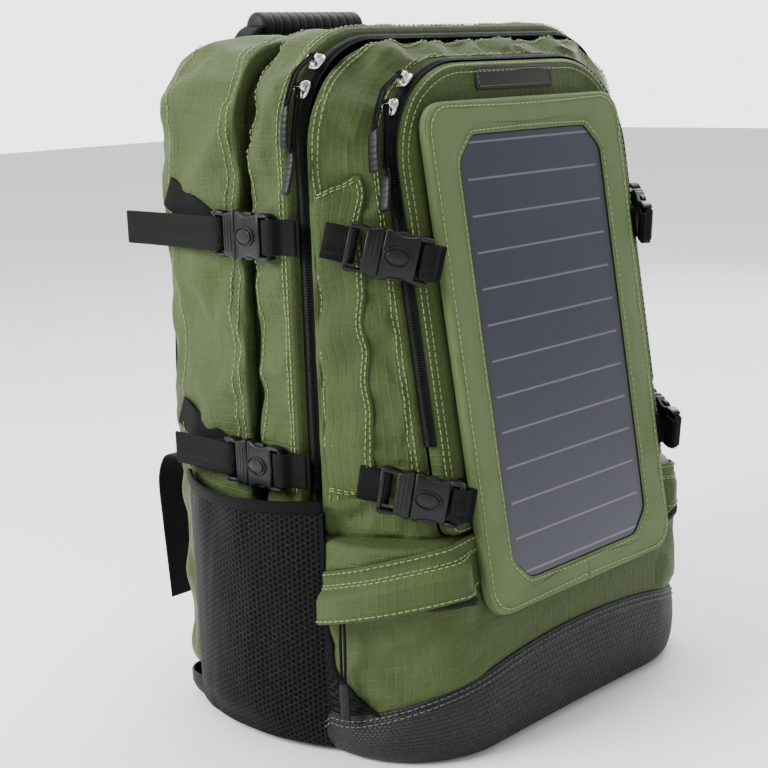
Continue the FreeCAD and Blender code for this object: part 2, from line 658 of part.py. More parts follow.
def add_zip(prefix, outline, corner, floor_inset, end_height, low_angle, pull_sizes, placement):
    """A zip with two sliders near its upper left corner, and their pulls."""
    feature(prefix + "_zip", zip_shape(outline, floor_inset, end_height), placement)
    corner_radius = outline[2][2]
    upper_length, lower_length, tab_width = (size(alias) for alias in pull_sizes)
    run = corner_radius - floor_inset + size("tape_thickness") + size("chain_thickness") + SLIDER_LIFT
    for name, angle in (("upper", low_angle + size("slider_spread")), ("lower", low_angle)):
        turn = FreeCAD.Rotation(BACK, angle - 90)
        spot = V(-corner[0], 0, corner[1])
        seat = FreeCAD.Placement(spot + turn.multVec(UP * run), turn)
        feature("%s_slider_%s" % (prefix, name), slider_shape(), placement.multiply(seat))
        if name == "upper":
            pull = curved_pull(run + PIN_HEIGHT, upper_length, tab_width)
            pull_seat = FreeCAD.Placement(spot, FreeCAD.Rotation(BACK, angle))
        else:
            pull = straight_pull(lower_length, tab_width)
            pin = spot + turn.multVec(UP * (run + PIN_HEIGHT))
            pull_seat = FreeCAD.Placement(pin, FreeCAD.Rotation(BACK, size("pull_slant")))
        feature("%s_pull_%s" % (prefix, name), pull, placement.multiply(pull_seat))


def add_lower_slider():
    """The lower zip's slider, round the left front corner, with its pull hanging down."""
    corner = V(-HALF_BODY + size("base_corner"), -size("base_front") + size("base_corner"), 0)
    turn = math.radians(size("lower_slider_turn"))
    out = V(-math.cos(turn), -math.sin(turn), 0)
    along = V(-out.y, out.x, 0)
    stand = size("base_corner") + size("tape_thickness") + size("chain_thickness") + SLIDER_LIFT
    spot = corner + out * stand + UP * size("lower_zip_height")
    seat = FreeCAD.Placement(spot, FreeCAD.Rotation(along, UP, out, "ZXY"))
    feature("lower_slider", slider_shape(pin_turn=90), seat)
    pin = spot + out * PIN_HEIGHT
    hang = FreeCAD.Placement(pin, FreeCAD.Rotation(out, along, UP, "ZXY"))
    feature("lower_pull", straight_pull(size("lower_pull_length"), size("pull_width")), hang)


# ---------------------------------------------------------------- straps and buckles


def female_half():
    """The female half: X runs to the male half, Y across the strap, Z out of the bag."""
    length, half, thick = size("socket_half_length"), size("buckle_width") / 2, size("buckle_thickness")
    web = size("webbing_width") / 2 + 0.6
    outline = ((-length, -half + 2, 3), (0, -half, 1), (0, half, 1), (-length, half - 2, 3))
    shape = slab(outline, level(0), UP * thick)
    rim = [e for e in shape.Edges if all(abs(vertex.Z - thick) < 1e-6 for vertex in e.Vertexes)]
    shape = shape.makeFillet(1.2, rim)
    middle, prong = thick / 2, size("prong_thickness") / 2 + size("buckle_fit")
    depth = size("prong_length") + 1
    inner = half - 2
    shape = shape.cut(block((-depth, 1), (-inner, inner), (middle - prong, middle + prong)))
    shape = shape.cut(block((-depth, -depth / 2), (-half - 1, half + 1), (middle - prong, middle + prong)))
    shape = shape.cut(block((3 - length, 8 - length), (-web, web), (-1, thick + 1)))
    shape = shape.cut(block((-length - 1, 4 - length), (-web, web), (middle + prong, thick + 1)))
    shape = shape.cut(block((-length - 1, 4 - length), (-web, web), (-1, middle - prong)))
    emboss = Part.Face(Part.Wire(Part.Ellipse(V(-length / 2 + 5, 0, 0), 8, 5.5).toShape()))
    raised = emboss.extrude(UP * 0.5)
    raised.translate(UP * (thick - 0.1))
    return shape.fuse(raised).removeSplitter()


def male_half():
    """The male half with its prongs in the female half's mouth at X 0."""
    length, half, thick = size("clip_half_length"), size("buckle_width") / 2, size("buckle_thickness")
    web = size("webbing_width") / 2 + 0.6
    fit = size("buckle_fit")
    outline = ((fit, -half, 1), (length, -half + 1, 3), (length, half - 1, 3), (fit, half, 1))
    shape = slab(outline, level(0), UP * thick)
    rim = [e for e in shape.Edges if all(abs(vertex.Z - thick) < 1e-6 for vertex in e.Vertexes)]
    shape = shape.makeFillet(1.2, rim)
    middle, prong = thick / 2, size("prong_thickness") / 2
    bar = length - 2.6
    shape = shape.cut(block((length - 10, bar), (-web, web), (-1, thick + 1)))
    shape = shape.cut(block((bar - 1, length + 1), (-web, web), (middle + prong, thick + 1)))
    shape = shape.cut(block((bar - 1, length + 1), (-web, web), (-1, middle - prong)))
    reach = size("prong_length")
    outer = half - 2 - fit
    for low, high in ((-outer, 3.5 - outer), (-1.5, 1.5), (outer - 3.5, outer)):
        shape = shape.fuse(block((-reach, fit + 1), (low, high), (middle - prong, middle + prong)))
    return shape.removeSplitter()


BUCKLE_LIFT = 1.7


def strap_layers():
    """Heights of the webbing above the bag: under a buckle's bar, and over it."""
    thick = size("webbing_thickness")
    under = BUCKLE_LIFT + size("buckle_thickness") / 2 - size("prong_thickness") / 2 - 0.9 - thick
    over = BUCKLE_LIFT + size("buckle_thickness") / 2 + size("prong_thickness") / 2 + 0.3
    return (under, under + thick), (over, over + thick)


def male_webbing(tail):
    """Webbing that folds round the male half's bar and runs on as a free tail."""
    half, thick = size("webbing_width") / 2, size("webbing_thickness")
    under, over = strap_layers()
    start = size("clip_half_length") - 7
    shape = block((start, start + 20), (-half, half), under)
    shape = shape.fuse(block((start, start + thick), (-half, half), (under[0], over[1])))
    return shape.fuse(block((start, tail), (-half, half), over)).removeSplitter()


def female_webbing(run):
    """Webbing sewn to the bag that loops round the female half's bar."""
    half, thick = size("webbing_width") / 2, size("webbing_thickness")
    low = BUCKLE_LIFT - thick - 0.1
    _, over = strap_layers()
    slot = 4.5 - size("socket_half_length")
    end = slot - 7
    shape = block((-run, slot + thick), (-half, half), (low, low + thick))
    for x in (slot, end - thick):
        shape = shape.fuse(block((x, x + thick), (-half, half), (low, over[1])))
    return shape.fuse(block((end - thick, slot + thick), (-half, half), over)).removeSplitter()


def rear_anchor():
    """Webbing from the back seam that climbs as it runs back, under the male half's webbing."""
    half, rise = size("webbing_width") / 2, size("strap_rise")
    start = size("clip_half_length") + 4
    end = REAR_BACK - size("rear_edge_radius") - size("rear_buckle_place")
    corners = ((start, -half, 0), (end, -half - rise, 0), (end, half - rise, 0), (start, half, 0))
    return slab(corners, level(0), UP * size("webbing_thickness"))


def clip_anchor():
    """Webbing from the seam that runs under a front buckle's male half."""
    half = size("webbing_width") / 2
    return block((size("clip_half_length") - 6, size("front_anchor_reach")), (-half, half),
                 (0, size("webbing_thickness")))


def rear_strap_place(height):
    turn = FreeCAD.Rotation(BACK, UP * -1, ACROSS * -1, "ZXY")
    return FreeCAD.Placement(V(-HALF_BODY, size("rear_buckle_place"), height), turn)


def front_strap_place(height):
    """A plane from the front pocket's rear seam to the corner of its flat front."""
    drop = (height - size("board_middle")) / math.cos(LEAN)
    face = leaning(POCKET_FACE)(-PANEL_OUTLINE[1][0], drop)
    start = V(size("pocket_back_step") + 1 - HALF_BODY, SEAM - 7, height)
    end = V(face.x, face.y, height - size("front_strap_drop"))
    along = end - start
    reach = along.Length - size("front_buckle_reach")
    along.normalize()
    out = (UP.cross(along) * -1).normalize()
    end_margin = 1.2
    start = start + out * end_margin
    turn = FreeCAD.Rotation(along * -1, out.cross(along * -1), out, "ZXY")
    return FreeCAD.Placement(start + along * reach, turn)


def front_landing(height):
    """Webbing from a front buckle's bar to its seam under the board, in the gap behind the board."""
    half = size("webbing_width") / 2
    middle = (height - size("front_strap_drop") - size("board_middle")) / math.cos(LEAN)
    depth = POCKET_FACE - 0.3
    outer, inner = size("pocket_front_width") / 2 - 4, size("board_width") / 2 - 12
    corners = ((-outer, middle - half, 0), (-inner, middle - half, 0),
               (-inner, middle + half, 0), (-outer, middle + half, 0))
    return slab(corners, leaning(depth), BOARD_IN * -size("webbing_thickness"))


def add_straps():
    heights = {"upper": size("crown_height") - size("upper_strap_drop"), "lower": size("lower_strap_height")}
    tails = {"upper": size("upper_tail"), "lower": size("lower_tail")}
    lift = FreeCAD.Placement(UP * BUCKLE_LIFT, FreeCAD.Rotation())
    sockets, anchors = [], []
    for level_name, height in heights.items():
        for place_name, place in (("rear", rear_strap_place(height)), ("front", front_strap_place(height))):
            seat = place.multiply(lift)
            clip = placed(male_half(), seat)
            socket = placed(female_half(), seat)
            if place_name == "rear":
                webbing = placed(male_webbing(tails[level_name]), place)
                held = [placed(female_webbing(size("rear_socket_webbing")), place), placed(rear_anchor(), place)]
            else:
                webbing = None
                held = [placed(female_webbing(size("front_socket_webbing")), place), placed(clip_anchor(), place), front_landing(height)]
            for side in ("left", "right"):
                turn = mirrored if side == "right" else (lambda shape: shape)
                name = "%s_%s_%s" % (level_name, place_name, side)
                feature("clip_" + name, turn(clip))
                sockets.append(turn(socket))
                anchors.extend(turn(piece) for piece in held)
                if webbing is not None:
                    feature("strap_" + name, turn(webbing))
    feature("buckle_sockets", Part.makeCompound(sockets))
    feature("strap_anchors", Part.makeCompound(anchors))


# ---------------------------------------------------------------- handle and harness


def make_handle_webbing():
    """A flat arch of webbing that carries the grip."""
    spread, low, high = size("handle_spread"), size("handle_low"), size("grip_height")
    half_thick = size("handle_strap_thickness") / 2
    top = spread - 12
    outer = ((-spread - half_thick, low, 0), (-top - half_thick, high + half_thick, 8),
             (top + half_thick, high + half_thick, 8), (spread + half_thick, low, 0))
    inner = ((-spread + half_thick, low, 0), (-top + half_thick, high - half_thick, 6),
             (top - half_thick, high - half_thick, 6), (spread - half_thick, low, 0))
    width = size("handle_strap_width")
    shape = slab(outer, upright(handle_depth() - width / 2), BACK * width)
    shape = shape.cut(slab(inner, upright(handle_depth() - width / 2), BACK * width))
    return shape.cut(grip_solid())


def handle_depth():
    return REAR_BACK + size("handle_strap_width") / 2 + 1


def grip_solid():
    length = size("grip_length")
    start = V(-length / 2, handle_depth(), size("grip_height"))
    shape = Part.makeCylinder(size("grip_diameter") / 2, length, start, ACROSS)
    return shape.makeFillet(3, shape.Edges[0:1] + shape.Edges[2:3])


def make_grip():
    """The rubber grip, moulded round the webbing, with finger ribs."""
    shape = grip_solid()
    length, radius = size("grip_length"), size("grip_diameter") / 2
    ribs = 12
    for index in range(ribs):
        x = -length / 2 + length * (index + 1) / (ribs + 1)
        ring = Part.makeTorus(radius + 0.4, 1.0, V(x, handle_depth(), size("grip_height")), ACROSS)
        shape = shape.cut(ring)
    return shape.removeSplitter()


def shoulder_curve(offset):
    """The bow of a shoulder strap seen from the side, at an offset from its inner face."""
    back = REAR_BACK + size("pad_depth") + 0.5
    top, low = size("shoulder_top"), size("shoulder_low")
    middle = (top + 2 * low) / 3 + 20
    return V(0, back + offset, top), V(0, back + size("shoulder_bow") + offset, middle), V(0, back + 1 + offset, low)


def make_shoulder_pad():
    thickness = size("shoulder_thickness")
    inner, outer = shoulder_curve(0), shoulder_curve(thickness)
    edges = [Part.Arc(*inner).toShape(), Part.makeLine(inner[2], outer[2]),
             Part.Arc(*reversed(outer)).toShape(), Part.makeLine(outer[0], inner[0])]
    profile = Part.Face(Part.Wire(edges))
    band = profile.extrude(ACROSS * -size("body_width"))
    top, low = size("shoulder_top"), size("shoulder_low")
    top_half, low_half = size("shoulder_top_width") / 2, size("shoulder_low_width") / 2
    top_x, low_x = -size("shoulder_top_place"), -size("shoulder_low_place")
    mid_x, mid_z = top_x * 0.45 + low_x * 0.55, (top + low) / 2
    mid_half = (top_half + low_half) / 2
    sides = []
    for side in (-1, 1):
        points = (V(top_x + side * top_half, 0, top + 1), V(mid_x + side * mid_half, 0, mid_z),
                  V(low_x + side * low_half, 0, low - 1))
        sides.append(points)
    edges = [Part.Arc(*sides[0]).toShape(), Part.makeLine(sides[0][2], sides[1][2]),
             Part.Arc(*reversed(sides[1])).toShape(), Part.makeLine(sides[1][0], sides[0][0])]
    cutter = Part.Face(Part.Wire(edges)).extrude(BACK * 4 * REAR_BACK)
    return band.common(cutter)


def adjuster_place():
    low_curve = shoulder_curve(size("shoulder_thickness") / 2 - size("adjuster_thickness") / 2)[2]
    return V(-size("shoulder_low_place"), low_curve.y, size("shoulder_low"))


def make_adjuster():
    """A three-bar ladder lock under the shoulder pad."""
    spot = adjuster_place()
    half, tall, thick = size("adjuster_width") / 2, size("adjuster_height"), size("adjuster_thickness")
    web = size("adjuster_webbing") / 2 + 1
    shape = slab(((-half, -tall, 3), (half, -tall, 3), (half, 0, 1), (-half, 0, 1)), upright(0), BACK * thick)
    for low, high in ((4 - tall, 8 - tall), (11 - tall, 15 - tall)):
        shape = shape.cut(block((-web, web), (-1, thick + 1), (low, high)))
    shape.translate(spot)
    return shape


def bent_strip(path, width, thickness):
    """Webbing that follows (y, z, bend radius) points at X 0."""
    points = [V(0, y, z) for y, z, _ in path]
    edges, last = [], points[0]
    for index in range(1, len(points) - 1):
        here, radius = points[index], path[index][2]
        before = (points[index - 1] - here).normalize()
        after = (points[index + 1] - here).normalize()
        half_angle = before.getAngle(after) / 2
        reach = radius / math.tan(half_angle)
        bisector = (before + after).normalize()
        start, end = here + before * reach, here + after * reach
        middle = here + bisector * (radius / math.sin(half_angle) - radius)
        edges += [Part.makeLine(last, start), Part.Arc(start, middle, end).toShape()]
        last = end
    edges.append(Part.makeLine(last, points[-1]))
    direction = (points[1] - points[0]).normalize()
    normal = direction.cross(ACROSS) * (thickness / 2)
    side = ACROSS * (width / 2)
    corners = [points[0] - side - normal, points[0] + side - normal, points[0] + side + normal,
               points[0] - side + normal, points[0] - side - normal]
    return Part.Wire(edges).makePipeShell([Part.makePolygon(corners)], True, False)


def make_adjuster_webbing():
    """A taut run from the bag's foot up to the ladder lock, and a free end that arches out and hangs."""
    spot = adjuster_place()
    lock_front, lock_back = spot.y, spot.y + size("adjuster_thickness")
    low_slot, high_slot = spot.z - size("adjuster_height") + 2, spot.z - 7
    foot = REAR_BACK + size("pad_depth") + size("adjuster_strap") / 2
    half_strap = size("adjuster_strap") / 2
    taut = ((foot, size("adjuster_anchor"), 0), (foot, size("adjuster_anchor") + 14, 8),
            (lock_front - half_strap, low_slot, 0))
    reach = size("adjuster_tail_reach")
    free = ((lock_back, high_slot - 8, 0), (lock_back + reach, high_slot + 4, 18),
            (lock_back + reach - 6, size("adjuster_tail_low"), 0))
    width, thickness = size("adjuster_webbing"), size("adjuster_strap")
    strips = Part.makeCompound([bent_strip(taut, width, thickness), bent_strip(free, width, thickness)])
    strips.translate(V(spot.x, 0, 0))
    return strips


# ---------------------------------------------------------------- build the bag

feature("rear_compartment", make_rear_compartment())
feature("second_compartment", make_second_compartment())
feature("front_pocket", make_front_pocket())
feature("bottom_compartment", make_bottom_compartment())
feature("base_panel", make_base_panel())
feature("storm_flap", make_storm_flap())

left_wing = make_wing()
feature("wings", Part.makeCompound([left_wing, mirrored(left_wing)]))

side_pocket = make_side_pocket(size("bottle_low"), size("bottle_high"), size("bottle_wall"))
binding = make_side_pocket(size("bottle_high"), size("bottle_high") + size("binding_height"), -1)
feature("side_pocket_left", side_pocket)
feature("side_pocket_right", mirrored(side_pocket))
feature("side_pocket_bindings", Part.makeCompound([binding, mirrored(binding)]))

# zips, sliders and pulls
channel_middle = SEAM + size("zip_channel_width") / 2
add_zip("main", SECOND_OUTLINE, CROWN, size("zip_channel_depth"), size("zip_end_height"),
        size("lower_slider_angle"), ("pull_length", "hang_length", "pull_width"), FreeCAD.Placement(BACK * channel_middle, FreeCAD.Rotation()))
panel_corner = (PANEL_OUTLINE[2][0] - PANEL_OUTLINE[2][2], PANEL_OUTLINE[2][1] - PANEL_OUTLINE[2][2])
pocket_zip_place = FreeCAD.Placement(BACK * (POCKET_FACE + size("pocket_panel_depth") / 2), FreeCAD.Rotation())
add_zip("pocket", PANEL_OUTLINE, panel_corner, 0, -size("pocket_zip_drop"),
        size("pocket_slider_angle"), ("pocket_pull_length", "pocket_hang_length", "pocket_pull_width"), BOARD_PLACE.multiply(pocket_zip_place))
feature("lower_zip", make_lower_zip())
add_lower_slider()

# straps and buckles
add_straps()

# handle and harness
feature("handle_webbing", make_handle_webbing())
feature("handle_grip", make_grip())
shoulder_pad, adjuster, adjuster_webbing = make_shoulder_pad(), make_adjuster(), make_adjuster_webbing()
feature("shoulder_pads", Part.makeCompound([shoulder_pad, mirrored(shoulder_pad)]))
feature("ladder_locks", Part.makeCompound([adjuster, mirrored(adjuster)]))
feature("shoulder_webbing", Part.makeCompound([adjuster_webbing, mirrored(adjuster_webbing)]))

# the padded back with its frame sheet and two stays, in a recess closed by the rear compartment
back_pad = slab(arch(size("pad_width") / 2, size("pad_low"), size("pad_high"), size("pad_corner"),
                     size("pad_corner")), upright(REAR_BACK), BACK * size("pad_depth"))
slack = size("inner_slack")
recess_depth = size("sheet_thickness") + size("stay_thickness") + 3 * slack
sheet_middle = (size("pad_low") + size("pad_high")) / 2
half_sheet, half_sheet_height = size("sheet_width") / 2 + slack, size("sheet_height") / 2 + slack
recess = block((-half_sheet, half_sheet), (REAR_BACK, REAR_BACK + recess_depth),
               (sheet_middle - half_sheet_height, sheet_middle + half_sheet_height))
feature("back_pad", back_pad.cut(recess))

SHEET_LOW = "(Sizes.pad_low + Sizes.pad_high - Sizes.sheet_height) / 2"
REAR_PLANE = "(Sizes.second_depth + Sizes.fold_depth + Sizes.rear_depth - Sizes.seam_reach)"
kept(box("frame_sheet", "Sizes.sheet_width", "Sizes.sheet_thickness", "Sizes.sheet_height",
         "-Sizes.sheet_width / 2", REAR_PLANE + " + Sizes.inner_slack", SHEET_LOW), "frame_sheet")
stays = []
for side, name in ((-1, "left_stay"), (1, "right_stay")):
    stays.append(box(name, "Sizes.stay_width", "Sizes.stay_thickness", "Sizes.sheet_height",
                     "%d * Sizes.stay_spacing / 2 - Sizes.stay_width / 2" % side,
                     REAR_PLANE + " + Sizes.sheet_thickness + 2 * Sizes.inner_slack", SHEET_LOW))
kept(group("frame_stays", stays), "frame_stays")

# ---------------------------------------------------------------- solar board


def on_board(piece, depth, rise=None, label=None):
    """Stands a piece on the leaning board: its own X, Y and Z become across, inwards and up the board."""
    rise = size("window_rise") if rise is None else rise
    piece.Placement = BOARD_PLACE.multiply(FreeCAD.Placement(V(0, depth, rise), FreeCAD.Rotation()))
    return piece if label is None else kept(piece, label)


cover_blank = plate("frame_blank", "Sizes.board_width", "Sizes.board_height", "Sizes.cover_thickness",
                    "Sizes.board_corner")
window_cutter = plate("window_cutter", "Sizes.window_width", "Sizes.window_height",
                      "2 * Sizes.cover_thickness", "Sizes.window_chamfer", chamfered=True)
on_board(cover_blank, 0)
on_board(window_cutter, -size("cover_thickness") / 2, rise=0)
kept(cut("solar_frame", cover_blank, window_cutter), "solar_frame")

film = plate("solar_film", "Sizes.window_width + 12", "Sizes.window_height + 12", "Sizes.film_thickness",
             "Sizes.window_chamfer")
on_board(film, size("cover_thickness"), rise=0, label="solar_film")

cells = []
cell_front = size("cover_thickness") + size("film_thickness")
for index in range(int(size("cell_count"))):
    strip = doc.addObject("Part::Box", "cell_strip_%02d" % (index + 1))
    bound(strip, {"Length": "Sizes.cell_width", "Width": "Sizes.cell_thickness",
                  "Height": "Sizes.cell_pitch - Sizes.cell_space"})
    low = (index - size("cell_count") / 2) * size("cell_pitch") + size("cell_space") / 2
    seat = FreeCAD.Placement(V(-size("cell_width") / 2, cell_front, low), FreeCAD.Rotation())
    strip.Placement = BOARD_PLACE.multiply(seat)
    cells.append(strip)
kept(group("solar_cells", cells), "solar_cells")

board = plate("solar_board", "Sizes.board_width", "Sizes.board_height",
              "Sizes.board_thickness - Sizes.cover_thickness", "Sizes.board_corner")
on_board(board, size("cover_thickness"))
film_bed = doc.addObject("Part::Box", "film_bed")
bound(film_bed, {"Length": "Sizes.window_width + 12", "Width": "Sizes.film_thickness + Sizes.cell_thickness",
                 "Height": "Sizes.window_height + 12"})
bed_corner = V(-size("window_width") / 2 - 6, size("cover_thickness"), -size("window_height") / 2 - 6)
film_bed.Placement = BOARD_PLACE.multiply(FreeCAD.Placement(bed_corner, FreeCAD.Rotation()))
kept(cut("backing_board", board, film_bed), "backing_board")

label = plate("label_patch", "Sizes.label_width", "Sizes.label_height", "Sizes.label_thickness",
              "Sizes.label_height / 6")
on_board(label, POCKET_FACE - size("label_thickness"), rise=size("label_rise"), label="label_patch")

hook_pads = []
for side in (-1, 1):
    pad = doc.addObject("Part::Box", "hook_pad_left" if side < 0 else "hook_pad_right")
    bound(pad, {"Length": "Sizes.hook_pad_width", "Width": "Sizes.hook_pad_thickness",
                "Height": "Sizes.hook_pad_height"})
    x = side * size("pocket_front_width") / 4 - size("hook_pad_width") / 2
    corner = V(x, POCKET_FACE - size("hook_pad_thickness"), size("hook_pad_rise") - size("pocket_drop"))
    pad.Placement = BOARD_PLACE.multiply(FreeCAD.Placement(corner, FreeCAD.Rotation()))
    hook_pads.append(pad)
kept(group("hook_pads", hook_pads), "hook_pads")

# ---------------------------------------------------------------- junction box behind the board

BOX_LID = 2
half_box, box_low = size("box_width") / 2, board_top() - size("box_top") - size("box_height")
box_high = box_low + size("box_height")
box_front, box_back = size("board_thickness"), size("board_thickness") + size("box_depth") - BOX_LID
box_wall = size("box_wall")
socket_half, socket_tall = size("socket_width") / 2, size("socket_height")
socket_front = box_front + box_wall + 1.4
box_case = block((-half_box, half_box), (box_front, box_back), (box_low, box_high))
box_case = box_case.cut(block((box_wall - half_box, half_box - box_wall), (box_front + box_wall, box_back),
                              (box_low + box_wall, box_high - box_wall)))
socket_room = block((-socket_half - 0.2, socket_half + 0.2), (socket_front - 0.2, socket_front + socket_tall + 0.2),
                    (box_low - 1, box_low + box_wall + 1))
feature("junction_box_case", box_case.cut(socket_room), BOARD_PLACE)
box_lid = block((-half_box, half_box), (box_back, box_back + BOX_LID), (box_low, box_high))
feature("junction_box_lid", box_lid, BOARD_PLACE)
regulator = block((box_wall + 2 - half_box, half_box - box_wall - 2),
                  (box_front + box_wall, box_front + box_wall + 1.4),
                  (box_low + box_wall + 1, box_high - box_wall - 1))
regulator = regulator.fuse(block((12, 20), (socket_front - 0.1, socket_front + 2), (box_low + 10, box_low + 18)))
feature("regulator_board", regulator.removeSplitter(), BOARD_PLACE)
usb_shell = block((-socket_half, socket_half), (socket_front, socket_front + socket_tall),
                  (box_low, box_low + size("socket_length")))
usb_mouth = block((0.6 - socket_half, socket_half - 0.6), (socket_front + 0.6, socket_front + socket_tall - 0.6),
                  (box_low - 1, box_low + size("socket_length") - 2))
feature("usb_socket", usb_shell.cut(usb_mouth), BOARD_PLACE)

# ---------------------------------------------------------------- power bank in its sleeve

sleeve_wall, sleeve_slack = size("sleeve_wall"), size("sleeve_slack")
bank_low = size("sleeve_low") + sleeve_wall + 0.1
bank_half, bank_tall = size("bank_width") / 2, size("bank_height")
bank_back = SEAM - size("fabric_wall") - sleeve_wall - sleeve_slack
bank_front = bank_back - size("bank_depth")
bank_corner, bank_wall = size("bank_corner"), size("bank_wall")
bank_split = bank_front + size("bank_lid")
bank_outline = arch(bank_half, bank_low, bank_low + bank_tall, bank_corner, bank_corner)
bank_inner = arch(bank_half - bank_wall, bank_low + bank_wall, bank_low + bank_tall - bank_wall,
                  bank_corner - bank_wall, bank_corner - bank_wall)
bank_case = slab(bank_outline, upright(bank_split), BACK * (bank_back - bank_split))
bank_case = bank_case.cut(slab(bank_inner, upright(bank_split), BACK * (bank_back - bank_split - bank_wall)))
port = block((-socket_half - 0.2, socket_half + 0.2), (bank_split + 0.8, bank_split + 0.8 + socket_tall - 1.4),
             (bank_low + bank_tall - 4, bank_low + bank_tall + 1))
feature("power_bank_case", bank_case.cut(port))
bank_lid = slab(bank_outline, upright(bank_front), BACK * size("bank_lid"))
feature("power_bank_lid", bank_lid)
cell_high = bank_low + bank_tall - bank_wall - 24
battery = block((bank_wall + 2 - bank_half, bank_half - bank_wall - 2), (bank_split + 0.3, bank_back - bank_wall - 0.2),
                (bank_low + bank_wall + 1, cell_high))
feature("power_bank_cell", battery)
bank_board = block((bank_wall + 2 - bank_half, bank_half - bank_wall - 2),
                   (bank_back - bank_wall - 1.6, bank_back - bank_wall - 0.1),
                   (cell_high + 2, bank_low + bank_tall - bank_wall - 1))
feature("power_bank_board", bank_board)

outer_half = bank_half + sleeve_slack + sleeve_wall
sleeve_low, sleeve_high = size("sleeve_low"), size("sleeve_low") + size("sleeve_height")
sleeve_back = SEAM - size("fabric_wall")
sleeve = block((-outer_half, outer_half), (bank_front - sleeve_slack - sleeve_wall, sleeve_back),
               (sleeve_low, sleeve_high))
sleeve = sleeve.cut(block((sleeve_wall - outer_half, outer_half - sleeve_wall),
                          (bank_front - sleeve_slack, bank_back + sleeve_slack),
                          (sleeve_low + sleeve_wall, sleeve_high + 1)))
feature("power_bank_sleeve", sleeve)

# ---------------------------------------------------------------- check and write

doc.recompute()
for item in doc.Objects:
    if "Invalid" in item.State or "Error" in item.State:
        raise RuntimeError("%s is %s" % (item.Label, item.State))
for item in SUB_PARTS:
    if item.Shape.isNull() or not item.Shape.isValid():
        raise RuntimeError("%s has a bad shape" % item.Label)

os.makedirs("parts", exist_ok=True)
for item in SUB_PARTS:
    item.Shape.exportStep("parts/%s.step" % item.Label)
print("%d sub-parts written" % len(SUB_PARTS))
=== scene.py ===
import math

import bpy
import numpy as np
from mathutils import Vector, Matrix, noise
from mathutils.bvhtree import BVHTree


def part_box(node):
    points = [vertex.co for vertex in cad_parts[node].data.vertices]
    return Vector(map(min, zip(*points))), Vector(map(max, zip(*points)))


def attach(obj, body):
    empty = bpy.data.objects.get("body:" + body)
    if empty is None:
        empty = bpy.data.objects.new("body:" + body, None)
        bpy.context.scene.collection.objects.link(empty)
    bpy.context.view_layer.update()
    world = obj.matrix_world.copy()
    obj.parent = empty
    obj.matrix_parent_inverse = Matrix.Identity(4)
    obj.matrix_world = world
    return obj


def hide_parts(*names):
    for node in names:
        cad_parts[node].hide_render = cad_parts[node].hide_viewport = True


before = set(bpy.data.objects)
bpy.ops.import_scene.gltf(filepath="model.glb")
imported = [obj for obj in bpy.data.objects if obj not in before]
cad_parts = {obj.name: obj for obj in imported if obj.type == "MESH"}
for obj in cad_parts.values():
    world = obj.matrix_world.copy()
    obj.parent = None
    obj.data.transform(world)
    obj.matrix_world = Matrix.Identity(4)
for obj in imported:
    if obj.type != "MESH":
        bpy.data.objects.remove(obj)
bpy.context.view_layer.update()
MM = 0.001
WEBBING = 20


def corner(node, which):
    """A corner of a node's box, in millimetres."""
    return np.array(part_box(node)[which]) / MM


# ------------------------------------------------------------------ sizes, in millimetres
HALF = corner("second_compartment", 1)[0]
SEAM = corner("second_compartment", 0)[1]
CROWN = corner("second_compartment", 1)[2]
REAR_TOP = corner("rear_compartment", 1)[2]
REAR_BACK = corner("rear_compartment", 1)[1]
PAD_BACK = corner("back_pad", 1)[1]
LEAN = math.radians(8.55)
UPB = np.array([0, math.sin(LEAN), math.cos(LEAN)])
INB = np.array([0, math.cos(LEAN), -math.sin(LEAN)])
MIDDLE = np.array([0, -98.0, 228.0])
X, Y, Z = np.eye(3)


def lean(w, u, v):
    """A point w behind the solar board's front, u across it and v up it."""
    u, v = np.broadcast_arrays(np.asarray(u, float), np.asarray(v, float))
    return MIDDLE + u[..., None] * X + v[..., None] * UPB + w * INB


def upright(y, u, v):
    u, v = np.asarray(u, float), np.asarray(v, float)
    return np.stack([u, np.full_like(u, y), v], -1)


def smooth(a, b, x):
    t = np.clip((np.asarray(x, float) - a) / (b - a), 0, 1)
    return t * t * (3 - 2 * t)


